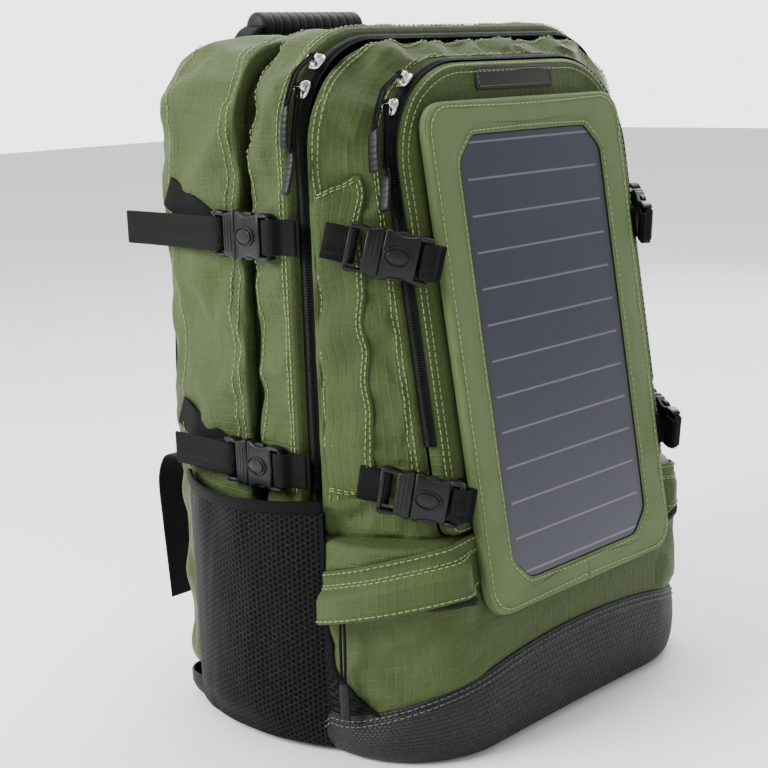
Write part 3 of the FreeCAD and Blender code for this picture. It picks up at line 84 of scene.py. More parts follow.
# ------------------------------------------------------------------ materials
class Shader:
    """A principled material that is put together from short calls."""

    def __init__(self, name, roughness=0.6, metallic=0.0, sheen=0.0, coat=0.0, specular=0.5, coat_rough=0.1):
        self.mat = bpy.data.materials.new(name)
        self.mat.use_nodes = True
        self.tree = self.mat.node_tree
        self.bsdf = self.tree.nodes["Principled BSDF"]
        for key, value in (("Roughness", roughness), ("Metallic", metallic), ("Sheen Weight", sheen),
                           ("Coat Weight", coat), ("Specular IOR Level", specular),
                           ("Coat Roughness", coat_rough)):
            self.bsdf.inputs[key].default_value = value

    def node(self, kind, links=(), **values):
        n = self.tree.nodes.new(kind)
        for key, value in values.items():
            if hasattr(n, key):
                setattr(n, key, value)
            else:
                n.inputs[key.replace("_", " ")].default_value = value
        for key, source in dict(links).items():
            self.link(source, n.inputs[key])
        return n

    def link(self, source, socket):
        if isinstance(source, (int, float)):
            socket.default_value = source
        elif isinstance(source, tuple):
            socket.default_value = (*source, 1.0)[:4] if len(source) == 3 else source
        else:
            self.tree.links.new(source, socket)

    def math(self, op, a, b=0.0, c=0.0):
        n = self.tree.nodes.new("ShaderNodeMath")
        n.operation = op
        for index, value in enumerate((a, b, c)):
            self.link(value, n.inputs[index])
        return n.outputs[0]

    def uv(self):
        return self.node("ShaderNodeTexCoord").outputs["UV"]

    def place(self):
        return self.node("ShaderNodeTexCoord").outputs["Object"]

    def split(self, vector):
        return self.node("ShaderNodeSeparateXYZ", {"Vector": vector}).outputs

    def noise(self, vector, scale, detail=3.0, rough=0.55, distortion=0.0):
        n = self.node("ShaderNodeTexNoise", {"Vector": vector})
        n.inputs["Scale"].default_value = scale
        n.inputs["Detail"].default_value = detail
        n.inputs["Roughness"].default_value = rough
        n.inputs["Distortion"].default_value = distortion
        return n.outputs["Fac"]

    def ramp(self, value, stops):
        n = self.node("ShaderNodeValToRGB", {"Fac": value})
        ramp = n.color_ramp
        while len(ramp.elements) < len(stops):
            ramp.elements.new(0.5)
        for element, (place, colour) in zip(ramp.elements, stops):
            element.position = place
            element.color = (*colour, 1.0)
        return n.outputs["Color"]

    def mix(self, value, a, b, mode="MIX"):
        n = self.tree.nodes.new("ShaderNodeMix")
        n.data_type = "RGBA"
        n.blend_type = mode
        self.link(value, n.inputs["Factor"])
        self.link(a, n.inputs[6])
        self.link(b, n.inputs[7])
        return n.outputs[2]

    def range(self, value, low, high, to_low=0.0, to_high=1.0):
        n = self.node("ShaderNodeMapRange", {"Value": value})
        n.inputs["From Min"].default_value, n.inputs["From Max"].default_value = low, high
        n.inputs["To Min"].default_value, n.inputs["To Max"].default_value = to_low, to_high
        return n.outputs[0]

    def wave(self, value, pitch):
        """A cosine along a coordinate, from -1 to 1."""
        return self.math("COSINE", self.math("MULTIPLY", value, 2 * math.pi / pitch))

    def bump(self, height, distance, strength=1.0, under=None):
        n = self.node("ShaderNodeBump", {"Height": height})
        n.inputs["Distance"].default_value = distance
        n.inputs["Strength"].default_value = strength
        if under is not None:
            self.link(under, n.inputs["Normal"])
        return n.outputs["Normal"]

    def done(self, colour=None, normal=None, roughness=None):
        for key, value in (("Base Color", colour), ("Normal", normal), ("Roughness", roughness)):
            if value is not None:
                self.link(value, self.bsdf.inputs[key])
        return self.mat


def tint(colour, factor):
    return tuple(min(1.0, c * factor) for c in colour)


def ripstop(name, colour, crease=1.0, grid=1.0):
    """Nylon with a raised thread every 5 mm, soft creases, and broad lighter and darker patches that are partly
    wear and partly painted light and shade of folds.
    """
    s = Shader(name, roughness=0.56, sheen=0.01, specular=0.18)
    u, v, _ = s.split(s.uv())
    lines = []
    for axis in (u, v):
        c = s.wave(axis, 0.0051)
        lines.append(s.range(c, 0.80, 0.97))
    thread = s.math("MAXIMUM", *lines)
    weave = s.math("MULTIPLY", s.wave(u, 0.0011), s.wave(v, 0.0011))
    place = s.place()
    cloud = s.noise(place, 16, 4)
    crumple = s.noise(place, 42, 3, 0.5, 1.2)
    slub = s.noise(place, 380, 2)
    # broad noise patches lighten and darken the green: partly wear, partly painted light and shade of folds
    base = s.ramp(cloud, ((0.30, tint(colour, 0.80)), (0.52, colour), (0.75, tint(colour, 1.14))))
    light = s.mix(s.math("MULTIPLY", thread, 0.30 * grid), base, tint(colour, 1.75))
    col = s.mix(s.range(slub, 0.35, 0.7, 0.0, 0.28), light, tint(colour, 0.62))
    fold = s.bump(crumple, 0.0022 * crease)
    fine = s.bump(s.math("ADD", s.math("MULTIPLY", thread, 1.2), s.math("MULTIPLY", weave, 0.35)),
                  0.00022, 1.0, fold)
    return s.done(col, fine, s.range(cloud, 0.3, 0.8, 0.50, 0.66))


def webbing_cloth(name, colour, pitch=0.0016):
    """Flat woven strap: slanted ribs."""
    s = Shader(name, roughness=0.62, sheen=0.0, specular=0.09)
    u, v, _ = s.split(s.uv())
    chevron = s.math("ABSOLUTE", s.math("SUBTRACT", s.math("MODULO", u, 0.005), 0.0025))
    rib = s.wave(s.math("ADD", v, s.math("MULTIPLY", chevron, 0.9)), pitch)
    cross = s.wave(u, 0.0013)
    body = s.math("MULTIPLY", rib, s.range(cross, -1, 1, 0.55, 1.0))
    speck_glint = s.noise(s.place(), 900, 2)
    col = s.mix(s.range(body, -0.2, 1.0), tint(colour, 0.45), tint(colour, 1.9))
    # bright specks on the strap: painted glints
    col = s.mix(s.range(speck_glint, 0.5, 0.8, 0, 0.5), col, tint(colour, 3.0))
    return s.done(col, s.bump(body, 0.00035))


def coarse_weave(name, colour):
    """Ballistic basket weave."""
    s = Shader(name, roughness=0.54, sheen=0.0, specular=0.17)
    u, v, _ = s.split(s.uv())
    a = s.math("MULTIPLY", s.wave(u, 0.0030), s.wave(v, 0.0030))
    warp = s.math("ABSOLUTE", s.wave(u, 0.0030))
    weft = s.math("ABSOLUTE", s.wave(v, 0.0030))
    over = s.math("GREATER_THAN", a, 0.0)
    height = s.math("ADD", s.math("MULTIPLY", over, warp),
            s.math("MULTIPLY", s.math("SUBTRACT", 1.0, over), weft))
    cloud = s.noise(s.place(), 22, 3)
    glint = s.noise(s.place(), 700, 2)
    col = s.mix(s.range(height, 0.15, 0.95), tint(colour, 0.30), tint(colour, 2.1))
    col = s.mix(s.range(glint, 0.55, 0.8, 0.0, 0.6), col, tint(colour, 4.5))
    wave = s.bump(s.noise(s.place(), 30, 2), 0.0018)
    return s.done(col, s.bump(height, 0.00045, 1.0, wave), s.range(cloud, 0.3, 0.7, 0.44, 0.6))


def net(name, thread, hole_shade, pitch, width=0.0, sheen=0.0, lift=0.0006):
    """Knitted mesh: a staggered lattice of threads with painted glints, and holes painted dark as the shade seen
    through the knit.
    """
    s = Shader(name, roughness=0.6, sheen=sheen, specular=0.06)
    u, v, _ = s.split(s.uv())
    half = s.math("MULTIPLY", u, 0.5)
    tall = s.math("MULTIPLY", v, 0.866)
    waves = [s.wave(u, pitch), s.wave(s.math("ADD", half, tall), pitch),
            s.wave(s.math("SUBTRACT", half, tall), pitch)]
    lattice = s.math("ADD", s.math("ADD", waves[0], waves[1]), waves[2])
    solid = s.range(lattice, -0.35 + width, 0.45 + width, 1.0, 0.0)
    glint = s.noise(s.place(), 500, 2)
    lit = s.mix(s.range(glint, 0.5, 0.75), thread, tint(thread, 2.2))
    # the holes' dark colour is painted shade seen through the knit
    col = s.mix(solid, hole_shade, lit)
    return s.done(col, s.bump(solid, lift))


def coated(name, colour):
    """Coated cloth that covers the board: fine cross-grain, nearly flat."""
    s = Shader(name, roughness=0.55, sheen=0.01, specular=0.25)
    place = s.place()
    u, v, _ = s.split(s.uv())
    grain = s.math("MULTIPLY", s.wave(u, 0.0009), s.wave(v, 0.0009))
    streak = s.noise(place, 55, 5, 0.65)
    cloud = s.noise(place, 9, 3)
    col = s.ramp(s.math("ADD", s.math("MULTIPLY", streak, 0.55), s.math("MULTIPLY", cloud, 0.45)),
                 ((0.34, tint(colour, 0.86)), (0.5, colour), (0.68, tint(colour, 1.12))))
    col = s.mix(s.range(grain, 0.2, 1.0, 0.0, 0.16), col, tint(colour, 1.6))
    return s.done(col, s.bump(grain, 0.00012, 1.0, s.bump(streak, 0.0005)))


def plastic(name, colour, roughness=0.38, grain=1.0):
    s = Shader(name, roughness=roughness, specular=0.2)
    place = s.place()
    fine = s.noise(place, 1400, 2)
    smudge = s.noise(place, 45, 3)
    col = s.ramp(smudge, ((0.35, tint(colour, 0.85)), (0.7, tint(colour, 1.25))))
    rough = s.range(smudge, 0.3, 0.75, roughness - 0.06, roughness + 0.12)
    return s.done(col, s.bump(fine, 0.00008 * grain), rough)


def metal(name, colour, roughness=0.18):
    s = Shader(name, roughness=roughness, metallic=1.0)
    smudge = s.noise(s.place(), 240, 3)
    col = s.ramp(smudge, ((0.3, tint(colour, 0.8)), (0.7, colour)))
    return s.done(col, s.bump(s.noise(s.place(), 900, 2), 0.00005),
            s.range(smudge, 0.3, 0.7, roughness, roughness + 0.14))


def thread_mat(name, colour):
    s = Shader(name, roughness=0.6, sheen=0.2)
    twist = s.noise(s.place(), 1500, 2)
    return s.done(s.ramp(twist, ((0.3, tint(colour, 0.7)), (0.7, tint(colour, 1.2)))))


GREEN = (0.044, 0.064, 0.0185)
M = {
    "ripstop": ripstop("ripstop", GREEN),
    "ripstop_flat": ripstop("ripstop_flat", tint(GREEN, 1.02), crease=0.35, grid=0.8),
    "webbing": webbing_cloth("webbing", (0.0055, 0.0055, 0.0058)),
    "tape": webbing_cloth("zip_tape", (0.0035, 0.0035, 0.0037), 0.0011),
    "base": coarse_weave("ballistic", (0.0105, 0.0105, 0.0110)),
    "mesh": net("pocket_mesh", (0.0075, 0.0075, 0.0078), (0.0008, 0.0008, 0.0009), 0.0030),
    "air": net("air_mesh", (0.012, 0.060, 0.058), (0.002, 0.006, 0.007), 0.0040, 0.3, lift=0.0010),
    "air_dark": net("air_mesh_dark", (0.012, 0.013, 0.0135), (0.001, 0.001, 0.001), 0.0040, 0.3, lift=0.0010),
    "binding": webbing_cloth("binding", (0.0040, 0.0040, 0.0042), 0.0013),
    "cover": coated("board_cover", (0.084, 0.120, 0.042)),
    "buckle": plastic("buckle", (0.0060, 0.0060, 0.0064), 0.34),
    "pull": plastic("pull", (0.0050, 0.0050, 0.0053), 0.42),
    "cord": webbing_cloth("cord", (0.0045, 0.0045, 0.0047), 0.0012),
    "grip": plastic("grip", (0.0050, 0.0050, 0.0053), 0.5, 2.0),
    "chrome": metal("nickel", (0.82, 0.80, 0.76), 0.14),
    "coil": plastic("coil", (0.0080, 0.0080, 0.0084), 0.30),
    "label": plastic("patch", (0.018, 0.018, 0.0165), 0.5, 3.0),
    "stitch_green": thread_mat("green_thread", (0.17, 0.24, 0.075)),
    "stitch_pale": thread_mat("pale_thread", (0.22, 0.29, 0.10)),
    "stitch_dark": thread_mat("dark_thread", (0.07, 0.07, 0.07)),
    # dark finish for the cells, also used as the painted shade in the crease round the solar window
    "dark": plastic("dark_cells_and_gap_shade", (0.006, 0.006, 0.006), 0.8),
    "box": plastic("moulded_case", (0.020, 0.020, 0.021), 0.45),
    "board": plastic("backing", (0.030, 0.030, 0.031), 0.6),
    "circuit": plastic("circuit", (0.012, 0.090, 0.035), 0.4),
    "steel": metal("plated_steel", (0.6, 0.6, 0.62), 0.25),
    "alu": metal("aluminium", (0.72, 0.72, 0.74), 0.3),
    "hdpe": plastic("hdpe", (0.55, 0.55, 0.55), 0.5),
    "bank": plastic("bank_shell", (0.012, 0.012, 0.013), 0.4),
    "lining": coated("lining", (0.020, 0.020, 0.021)),
}


def silicon(name):
    """Dark laminate over twelve cell strips, with the pale lines between them."""
    s = Shader(name, roughness=0.34, specular=0.4, coat=0.18, coat_rough=0.28)
    u, v, _ = s.split(s.uv())
    step = 0.0208
    shifted = s.math("MODULO", s.math("ADD", v, step * 8), step)
    near = s.math("MINIMUM", shifted, s.math("SUBTRACT", step, shifted))
    across = s.math("ABSOLUTE", u)
    line = s.math("MULTIPLY", s.range(near, 0.00035, 0.0008, 1.0, 0.0),
            s.range(across, 0.0600, 0.0606, 1.0, 0.0))
    rim = s.range(across, 0.0608, 0.0616)
    finger = s.wave(u, 0.0021)
    # broad noise runs the laminate's blue from darker to lighter: a painted reflection sweep on the glossy film
    reflection_sweep = s.noise(s.place(), 5, 2)
    blue = s.ramp(reflection_sweep, ((0.3, (0.0115, 0.0125, 0.027)), (0.7, (0.017, 0.019, 0.037))))
    col = s.mix(s.range(finger, 0.8, 1.0, 0.0, 0.10), blue, (0.06, 0.066, 0.10))
    col = s.mix(s.math("MULTIPLY", rim, 0.5), col, (0.012, 0.0125, 0.020))
    col = s.mix(s.math("MULTIPLY", line, 0.55), col, (0.17, 0.18, 0.19))
    return s.done(col, s.bump(s.noise(s.place(), 240, 2), 0.00005))


M["film"] = silicon("laminate")


# ------------------------------------------------------------------ mesh building
def finish_piece(obj, mat, body, slot=None, level=0):
    for polygon in obj.data.polygons:
        polygon.use_smooth = True
    obj.data.materials.clear()
    obj.data.materials.append(M[mat])
    if level:
        mod = obj.modifiers.new("smooth", "SUBSURF")
        mod.levels = mod.render_levels = level
    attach(obj, body)
    return obj


def make(name, verts, faces, uvs=None):
    data = bpy.data.meshes.new(name)
    data.from_pydata([tuple(v) for v in np.asarray(verts) * MM], [], faces)
    if uvs is not None:
        layer = data.uv_layers.new(name="UVMap")
        flat = np.asarray(uvs, float)
        loops = np.zeros(len(data.loops), dtype=int)
        data.loops.foreach_get("vertex_index", loops)
        layer.data.foreach_set("uv", (flat[loops] * MM).ravel())
    data.update()
    obj = bpy.data.objects.new(name, data)
    bpy.context.scene.collection.objects.link(obj)
    return obj


def grid_uv(P):
    """Distances along both directions of a grid, so that a weave keeps its size."""
    du = np.linalg.norm(np.diff(P, axis=0), axis=2).mean(1)
    dv = np.linalg.norm(np.diff(P, axis=1), axis=2).mean(0)
    u = np.concatenate([[0], np.cumsum(du)])
    v = np.concatenate([[0], np.cumsum(dv)])
    return np.stack(np.meshgrid(u, v, indexing="ij"), -1)


class Parts:
    """Collects grids and small solids into one object."""

    def __init__(self):
        self.verts, self.faces, self.uvs, self.count = [], [], [], 0

    def add(self, verts, faces, uvs=None):
        verts = np.asarray(verts, float).reshape(-1, 3)
        self.verts.append(verts)
        self.uvs.append(np.asarray(uvs, float).reshape(-1, 2) if uvs is not None else verts[:, [0, 2]])
        self.faces.extend([tuple(i + self.count for i in f) for f in faces])
        self.count += len(verts)
        return self

    def grid(self, P, close_u=False, close_v=False, flip=False, uvs=None):
        n, m = P.shape[:2]
        faces = []
        for i in range(n if close_u else n - 1):
            for j in range(m if close_v else m - 1):
                a, b = i * m + j, i * m + (j + 1) % m
                c, d = ((i + 1) % n) * m + (j + 1) % m, ((i + 1) % n) * m + j
                faces.append((a, d, c, b) if flip else (a, b, c, d))
        return self.add(P, faces, grid_uv(P) if uvs is None else uvs)

    def ends(self, start, rows, k):
        """Shuts a swept shape's two ends with flat faces."""
        self.faces.append(tuple(start + i for i in reversed(range(k))))
        last = start + (rows - 1) * k
        self.faces.append(tuple(last + i for i in range(k)))
        return self

    def tube(self, path, radius, sides=8, caps=True, squash=1.0, normal=None):
        """A tube along a path, with one radius or one per point."""
        path = np.asarray(path, float)
        radii = np.broadcast_to(np.asarray(radius, float), (len(path),))
        tang = np.gradient(path, axis=0)
        tang /= np.linalg.norm(tang, axis=1)[:, None] + 1e-9
        side = np.array(normal if normal is not None else (0.31, 0.77, 0.55), float)
        rows = []
        for p, t, r in zip(path, tang, radii):
            a = side - t * side.dot(t)
            a /= np.linalg.norm(a) + 1e-9
            b = np.cross(t, a)
            side = a
            ang = np.linspace(0, 2 * math.pi, sides, endpoint=False)
            rows.append(p + r * (np.outer(np.cos(ang), a) * squash + np.outer(np.sin(ang), b)))
        P = np.array(rows)
        start = self.count
        self.grid(P, close_v=True)
        return self.ends(start, len(path), sides) if caps else self

    def strap(self, path, across, width, thick, sides=6):
        """Flat webbing along a path: a rounded rectangle swept with its width along `across`."""
        path = np.asarray(path, float)
        across = np.broadcast_to(np.asarray(across, float), path.shape)
        tang = np.gradient(path, axis=0)
        tang /= np.linalg.norm(tang, axis=1)[:, None] + 1e-9
        length = path_length(path)
        w, h = width / 2, thick / 2
        top = np.linspace(-w + h, w - h, sides)
        section = [(x, h) for x in top] + [(w, 0)] + [(x, -h) for x in top[::-1]] + [(-w, 0)]
        rows, uv = [], []
        for p, t, a, l in zip(path, tang, across, length):
            a = a - t * a.dot(t)
            a = a / (np.linalg.norm(a) + 1e-9)
            b = np.cross(a, t)
            rows.append([p + a * x + b * y for x, y in section])
            uv.append([(x, l) for x, _ in section])
        k = len(section)
        start = self.count
        self.grid(np.array(rows), close_v=True, uvs=np.array(uv))
        return self.ends(start, len(path), k)

    def slab(self, outline, low, high, edge=0.8, steps=3, dome=0.0):
        """A plate with rounded rims from a flat outline; `dome` lowers its top towards the rims across Y."""
        pts = np.asarray(outline, float)
        area = 0.5 * np.sum(pts[:, 0] * np.roll(pts[:, 1], -1) - np.roll(pts[:, 0], -1) * pts[:, 1])
        if area < 0:
            pts = pts[::-1]
        before, after = pts - np.roll(pts, 1, 0), np.roll(pts, -1, 0) - pts
        before /= np.linalg.norm(before, axis=1)[:, None] + 1e-9
        after /= np.linalg.norm(after, axis=1)[:, None] + 1e-9
        normal = np.stack([-(before + after)[:, 1], (before + after)[:, 0]], 1)
        normal /= np.linalg.norm(normal, axis=1)[:, None] + 1e-9
        rows = []
        reach = max(abs(pts[:, 1]).max(), 1e-6)
        for k in range(steps + 1):
            a = math.pi / 2 * k / steps
            rows.append((edge * (1 - math.sin(a)), low + edge * (1 - math.cos(a))))
        for k in range(steps + 1):
            a = math.pi / 2 * (1 - k / steps)
            rows.append((edge * (1 - math.sin(a)), high - edge * (1 - math.cos(a))))
        P = []
        for inset, z in rows:
            ring = pts + normal * inset
            fall = dome * (ring[:, 1] / reach) ** 2 * ((z - low) / (high - low))
            P.append(np.column_stack([ring, z - fall]))
        P = np.array(P)
        n = len(pts)
        start = self.count
        self.grid(P, close_v=True, uvs=P[..., :2])
        return self.ends(start, len(rows), n)

    def moved(self, matrix):
        """The same parts through a 4 by 4 matrix in millimetres."""
        m = np.array(matrix)
        out = Parts()
        verts = np.concatenate(self.verts)
        faces = self.faces if np.linalg.det(m[:3, :3]) > 0 else [tuple(reversed(f)) for f in self.faces]
        return out.add(verts @ m[:3, :3].T + m[:3, 3], faces, np.concatenate(self.uvs))

    def join(self, other):
        return self.add(np.concatenate(other.verts), other.faces, np.concatenate(other.uvs))

    def build(self, name, mat, body="bag", slot=None, level=0, replaces=()):
        obj = make(name, np.concatenate(self.verts), self.faces, np.concatenate(self.uvs))
        finish_piece(obj, mat, body, slot, level)
        if replaces:
            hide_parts(*replaces)
        return obj


MIRROR = np.diag([-1.0, 1, 1, 1])


def path_length(path):
    """Distance along a path at each of its points."""
    return np.concatenate([[0], np.cumsum(np.linalg.norm(np.diff(path, axis=0), axis=1))])


def spline(points, count):
    """A smooth line through a few points (Catmull-Rom)."""
    pts = np.asarray(points, float)
    pts = np.vstack([2 * pts[0] - pts[1], pts, 2 * pts[-1] - pts[-2]])
    spans = len(pts) - 3
    out = []
    for t in np.linspace(0, spans, count):
        i = min(int(t), spans - 1)
        f = t - i
        p0, p1, p2, p3 = pts[i:i + 4]
        out.append(0.5 * (2 * p1 + (p2 - p0) * f + (2 * p0 - 5 * p1 + 4 * p2 - p3) * f ** 2
                          + (3 * p1 - p0 - 3 * p2 + p3) * f ** 3))
    return np.array(out)


class Cloth:
    """A cloth patch on a grid, with places given by fractions along both directions."""

    def __init__(self, P, close_u=False):
        self.P, self.close = np.asarray(P, float), close_u

    def normals(self):
        P = self.P
        if self.close:
            du = np.roll(P, -1, 0) - np.roll(P, 1, 0)
        else:
            du = np.gradient(P, axis=0)
        n = np.cross(np.gradient(P, axis=1), du)
        n /= np.linalg.norm(n, axis=2)[..., None] + 1e-9
        return n

    def at(self, t, s, off=0.0):
        """Points at row t and column s (both in grid units), lifted along the surface's normal."""
        n, m = self.P.shape[:2]
        t, s = np.broadcast_arrays(np.asarray(t, float), np.asarray(s, float))
        if self.close:
            t = t % n
        else:
            t = np.clip(t, 0, n - 1.001)
        s = np.clip(s, 0, m - 1.001)
        i, j = t.astype(int), s.astype(int)
        f, g = (t - i)[..., None], (s - j)[..., None]
        k = (i + 1) % n if self.close else i + 1
        N = self.normals()
        both = self.P + N * off if np.isscalar(off) else None
        def pick(A):
            return ((A[i, j] * (1 - f) + A[k, j] * f) * (1 - g) + (A[i, j + 1] * (1 - f) + A[k,
                    j + 1] * f) * g)
        if both is not None:
            return pick(both)
        return pick(self.P) + pick(N) * np.asarray(off)[..., None]


def stitched(parts, path, normal_path, length=2.7, gap=1.3, radius=0.34):
    """Adds a row of thread stitches that lie on a surface along a path."""
    path = np.asarray(path, float)
    along = path_length(path)
    place = gap
    while place + length < along[-1]:
        pos = [np.array([np.interp(q, along, path[:, k]) for k in range(3)]) for q in (place,
                place + length / 2, place + length)]
        nor = np.array([np.interp(place + length / 2, along, normal_path[:, k]) for k in range(3)])
        nor /= np.linalg.norm(nor) + 1e-9
        pts = [pos[0] - nor * 0.15, pos[0] * 0.8 + pos[1] * 0.2 + nor * radius * 0.9,
                pos[1] + nor * radius * 1.2,
               pos[2] * 0.8 + pos[1] * 0.2 + nor * radius * 0.9, pos[2] - nor * 0.15]
        parts.tube(pts, [radius * 0.5, radius, radius, radius, radius * 0.5], 5, caps=False)
        place += length + gap
    return parts


def rough_noise(P, size, height, seed=0.0):
    """Small bumps along each point's own place."""
    flat = P.reshape(-1, 3)
    values = np.array([noise.noise(Vector((*(p / size + seed),))) for p in flat]) * height
    return values.reshape(P.shape[:2])


def arch(half, low, high, r_low, r_high, n=(8, 5, 56, 17, 30)):
    """A compartment's outline from the middle of its bottom, up its left side, over and down."""
    nb, ncl, ns, nch, nt = n
    pts = []

    def line(a, b, k):
        pts.extend([(a[0] + (b[0] - a[0]) * i / k, a[1] + (b[1] - a[1]) * i / k) for i in range(k)])

    def turn(cx, cz, r, a0, a1, k):
        for i in range(k):
            a = math.radians(a0 + (a1 - a0) * i / k)
            pts.append((cx + r * math.cos(a), cz + r * math.sin(a)))

    line((0, low), (r_low - half, low), nb)
    turn(r_low - half, low + r_low, r_low, 270, 180, ncl)
    line((-half, low + r_low), (-half, high - r_high), ns)
    turn(r_high - half, high - r_high, r_high, 180, 90, nch)
    line((r_high - half, high), (half - r_high, high), nt)
    turn(half - r_high, high - r_high, r_high, 90, 0, nch)
    line((half, high - r_high), (half, low + r_low), ns)
    turn(half - r_low, low + r_low, r_low, 0, -90, ncl)
    line((half - r_low, low), (0, low), nb)
    return np.array(pts)


def profile(points, count):
    """Evenly spaced (place, inset) pairs along a bent line."""
    pts = np.asarray(points, float)
    along = path_length(pts)
    q = np.linspace(0, along[-1], count)
    return np.stack([np.interp(q, along, pts[:, k]) for k in range(2)], 1)


def arch_band(half, low, high, r_low, r_high, section):
    """Cloth that follows a compartment's outline, with a (depth, inset) section."""
    rows = []
    for y, inset in section:
        o = arch(half - inset, low + inset, high - inset, max(r_low - inset, 0.6), max(r_high - inset, 0.6))
        rows.append(upright(y, o[:, 0], o[:, 1]))
    return np.array(rows).transpose(1, 0, 2)


# ------------------------------------------------------------------ cloth simulation
PENDING = []


def to_settle(name, P, close_u, pinned, pressure=3.0, grow=0.04, cap=6.0, stiff=18.0, bend=0.6):
    """Queues a patch for the cloth run; `pinned` is a mask of points that a seam or strap holds."""
    faces = Parts().grid(P, close_u)
    obj = make(name + "_cloth", P.reshape(-1, 3), faces.faces)
    group = obj.vertex_groups.new(name="held")
    flat = pinned.reshape(-1)
    for value in np.unique(np.round(flat, 2)):
        if value > 0:
            group.add([int(i) for i in np.nonzero(np.isclose(np.round(flat, 2), value))[0]], float(value),
                    "REPLACE")
    mod = obj.modifiers.new("Cloth", "CLOTH")
    c = mod.settings
    c.quality = 5
    c.mass = 0.25
    c.tension_stiffness = c.compression_stiffness = stiff
    c.shear_stiffness = stiff * 0.5
    c.bending_stiffness = bend
    c.tension_damping = c.compression_damping = c.shear_damping = 8.0
    c.bending_damping = 1.0
    c.air_damping = 3.0
    c.vertex_group_mass = "held"
    c.pin_stiffness = 1.0
    c.shrink_min = c.shrink_max = -grow
    c.use_pressure = True
    c.uniform_pressure_force = pressure
    c.effector_weights.gravity = 0.0
    mod.collision_settings.use_collision = False
    mod.collision_settings.use_self_collision = False
    mod.point_cache.frame_start, mod.point_cache.frame_end = 1, 40
    PENDING.append((obj, P, cap))
    return len(PENDING) - 1


def settle(frames=22):
    """Runs all queued patches together and returns their grids, with every move capped."""
    scene = bpy.context.scene
    out = []
    for f in range(1, frames + 1):
        scene.frame_set(f)
    deps = bpy.context.evaluated_depsgraph_get()
    for obj, P, cap in PENDING:
        co = np.zeros(len(obj.data.vertices) * 3)
        obj.evaluated_get(deps).data.vertices.foreach_get("co", co)
        Q = co.reshape(P.shape) / MM
        move = Q - P
        size = np.linalg.norm(move, axis=2)[..., None] + 1e-9
        Q = P + move / size * (cap * np.tanh(size / cap))
        out.append(Q)
    for obj, _, _ in PENDING:
        data = obj.data
        bpy.data.objects.remove(obj)
        bpy.data.meshes.remove(data)
    scene.frame_set(1)
    return out


STRAPS = (304.0, 170.0)
LOWER_ZIP = 97.0
FRONT_DROP = 12.0
SEAT_CENTRE = np.array([-80.0, -46.0, LOWER_ZIP])


def near_strap(z, spread=9.0):
    return np.maximum.reduce([1 - smooth(spread, spread + 9, np.abs(z - s)) for s in STRAPS])


# ------------------------------------------------------------------ the soft shells
def side_of(P):
    """How far a point is towards a side wall, from 0 on the crown to 1."""
    return smooth(0.55, 0.95, np.abs(P[..., 0]) / HALF)


# rear compartment: a flap edge over the fold, a full side, a rounded back edge
rear_section = profile([(24, 13), (20.6, 9), (20.0, 2.2), (20.6, 0.4), (27, 0.2), (42, -0.6), (60, -1.2),
        (78, -0.6),
                        (90, 2.6), (96, 7.5), (99.5, 14), (100, 24)], 30)
rear_P = arch_band(HALF, 14, REAR_TOP, 20, 45, rear_section)
second_section = profile([(-22.6, 7.6), (-21.8, 2.0), (-21.0, 0.3), (-13.0, 0.2), (-6, -0.6), (2, -1.0),
        (9, 0.6),
                          (12.5, 4), (14.0, 11), (17, 13.5)], 20)
second_P = arch_band(HALF, 14, CROWN, 20, 62, second_section)


def pocket_rings(grow=0.0):
    seam = arch(141 + grow, 128.5, 408 + grow, 10, 59 + grow)
    front = arch(110 + grow, -97 - grow, 176 + grow, 10 + grow, 62 + grow)
    return seam, front


def pocket_side_grid():
    columns = []
    for inset, y in ((7.6, -33.0), (3.0, -34.2), (0.4, -35.0)):
        o = arch(141 - inset, 128.5 + inset, 408 - inset, max(10 - inset, 1), 59 - inset)
        columns.append(upright(y, o[:, 0], o[:, 1]))
    seam, front = pocket_rings()
    start, end = upright(SEAM, seam[:, 0], seam[:, 1]), lean(21, front[:, 0], front[:, 1])
    run = end - start
    out = np.cross(np.roll(start, -1, 0) - np.roll(start, 1, 0), run)
    out /= np.linalg.norm(out, axis=1)[:, None]
    if (out[0] * Z).sum() > 0:
        out = -out
    for s in np.linspace(0.05, 0.97, 24):
        columns.append(start + run * s + out * (2.4 * math.sin(math.pi * min(1, s * 1.05)) ** 0.8))
    for inset, w in ((0.4, 20.6), (2.2, 20.0), (4.4, 19.0)):
        o = arch(110 - inset, -97 + inset, 176 - inset, max(10 - inset, 1), 62 - inset)
        columns.append(lean(w, o[:, 0], o[:, 1]))
    return np.array(columns).transpose(1, 0, 2)


pocket_P = pocket_side_grid()


def plan(grow=0.0, front_radius=65.0, n_side=26, n_corner=20, n_front=34):
    """The bottom compartment's outline seen from above, from the left seam round the front to the right."""
    half, front, r = HALF + grow, -111.0 - grow, front_radius + grow
    pts = [(-half, y) for y in np.linspace(SEAM, front + r, n_side, endpoint=False)]
    for a in np.linspace(180, 270, n_corner, endpoint=False):
        pts.append((-half + r + r * math.cos(math.radians(a)), front + r + r * math.sin(math.radians(a))))
    pts += [(x, front) for x in np.linspace(-half + r, half - r, n_front, endpoint=False)]
    for a in np.linspace(270, 360, n_corner, endpoint=False):
        pts.append((half - r + r * math.cos(math.radians(a)), front + r + r * math.sin(math.radians(a))))
    pts += [(half, y) for y in np.linspace(front + r, SEAM, n_side)]
    return np.array(pts)


def board_plane(z, behind):
    """Depth of the plane behind the board at a height."""
    return -98 + behind / math.cos(LEAN) + (z - 228) * math.tan(LEAN)


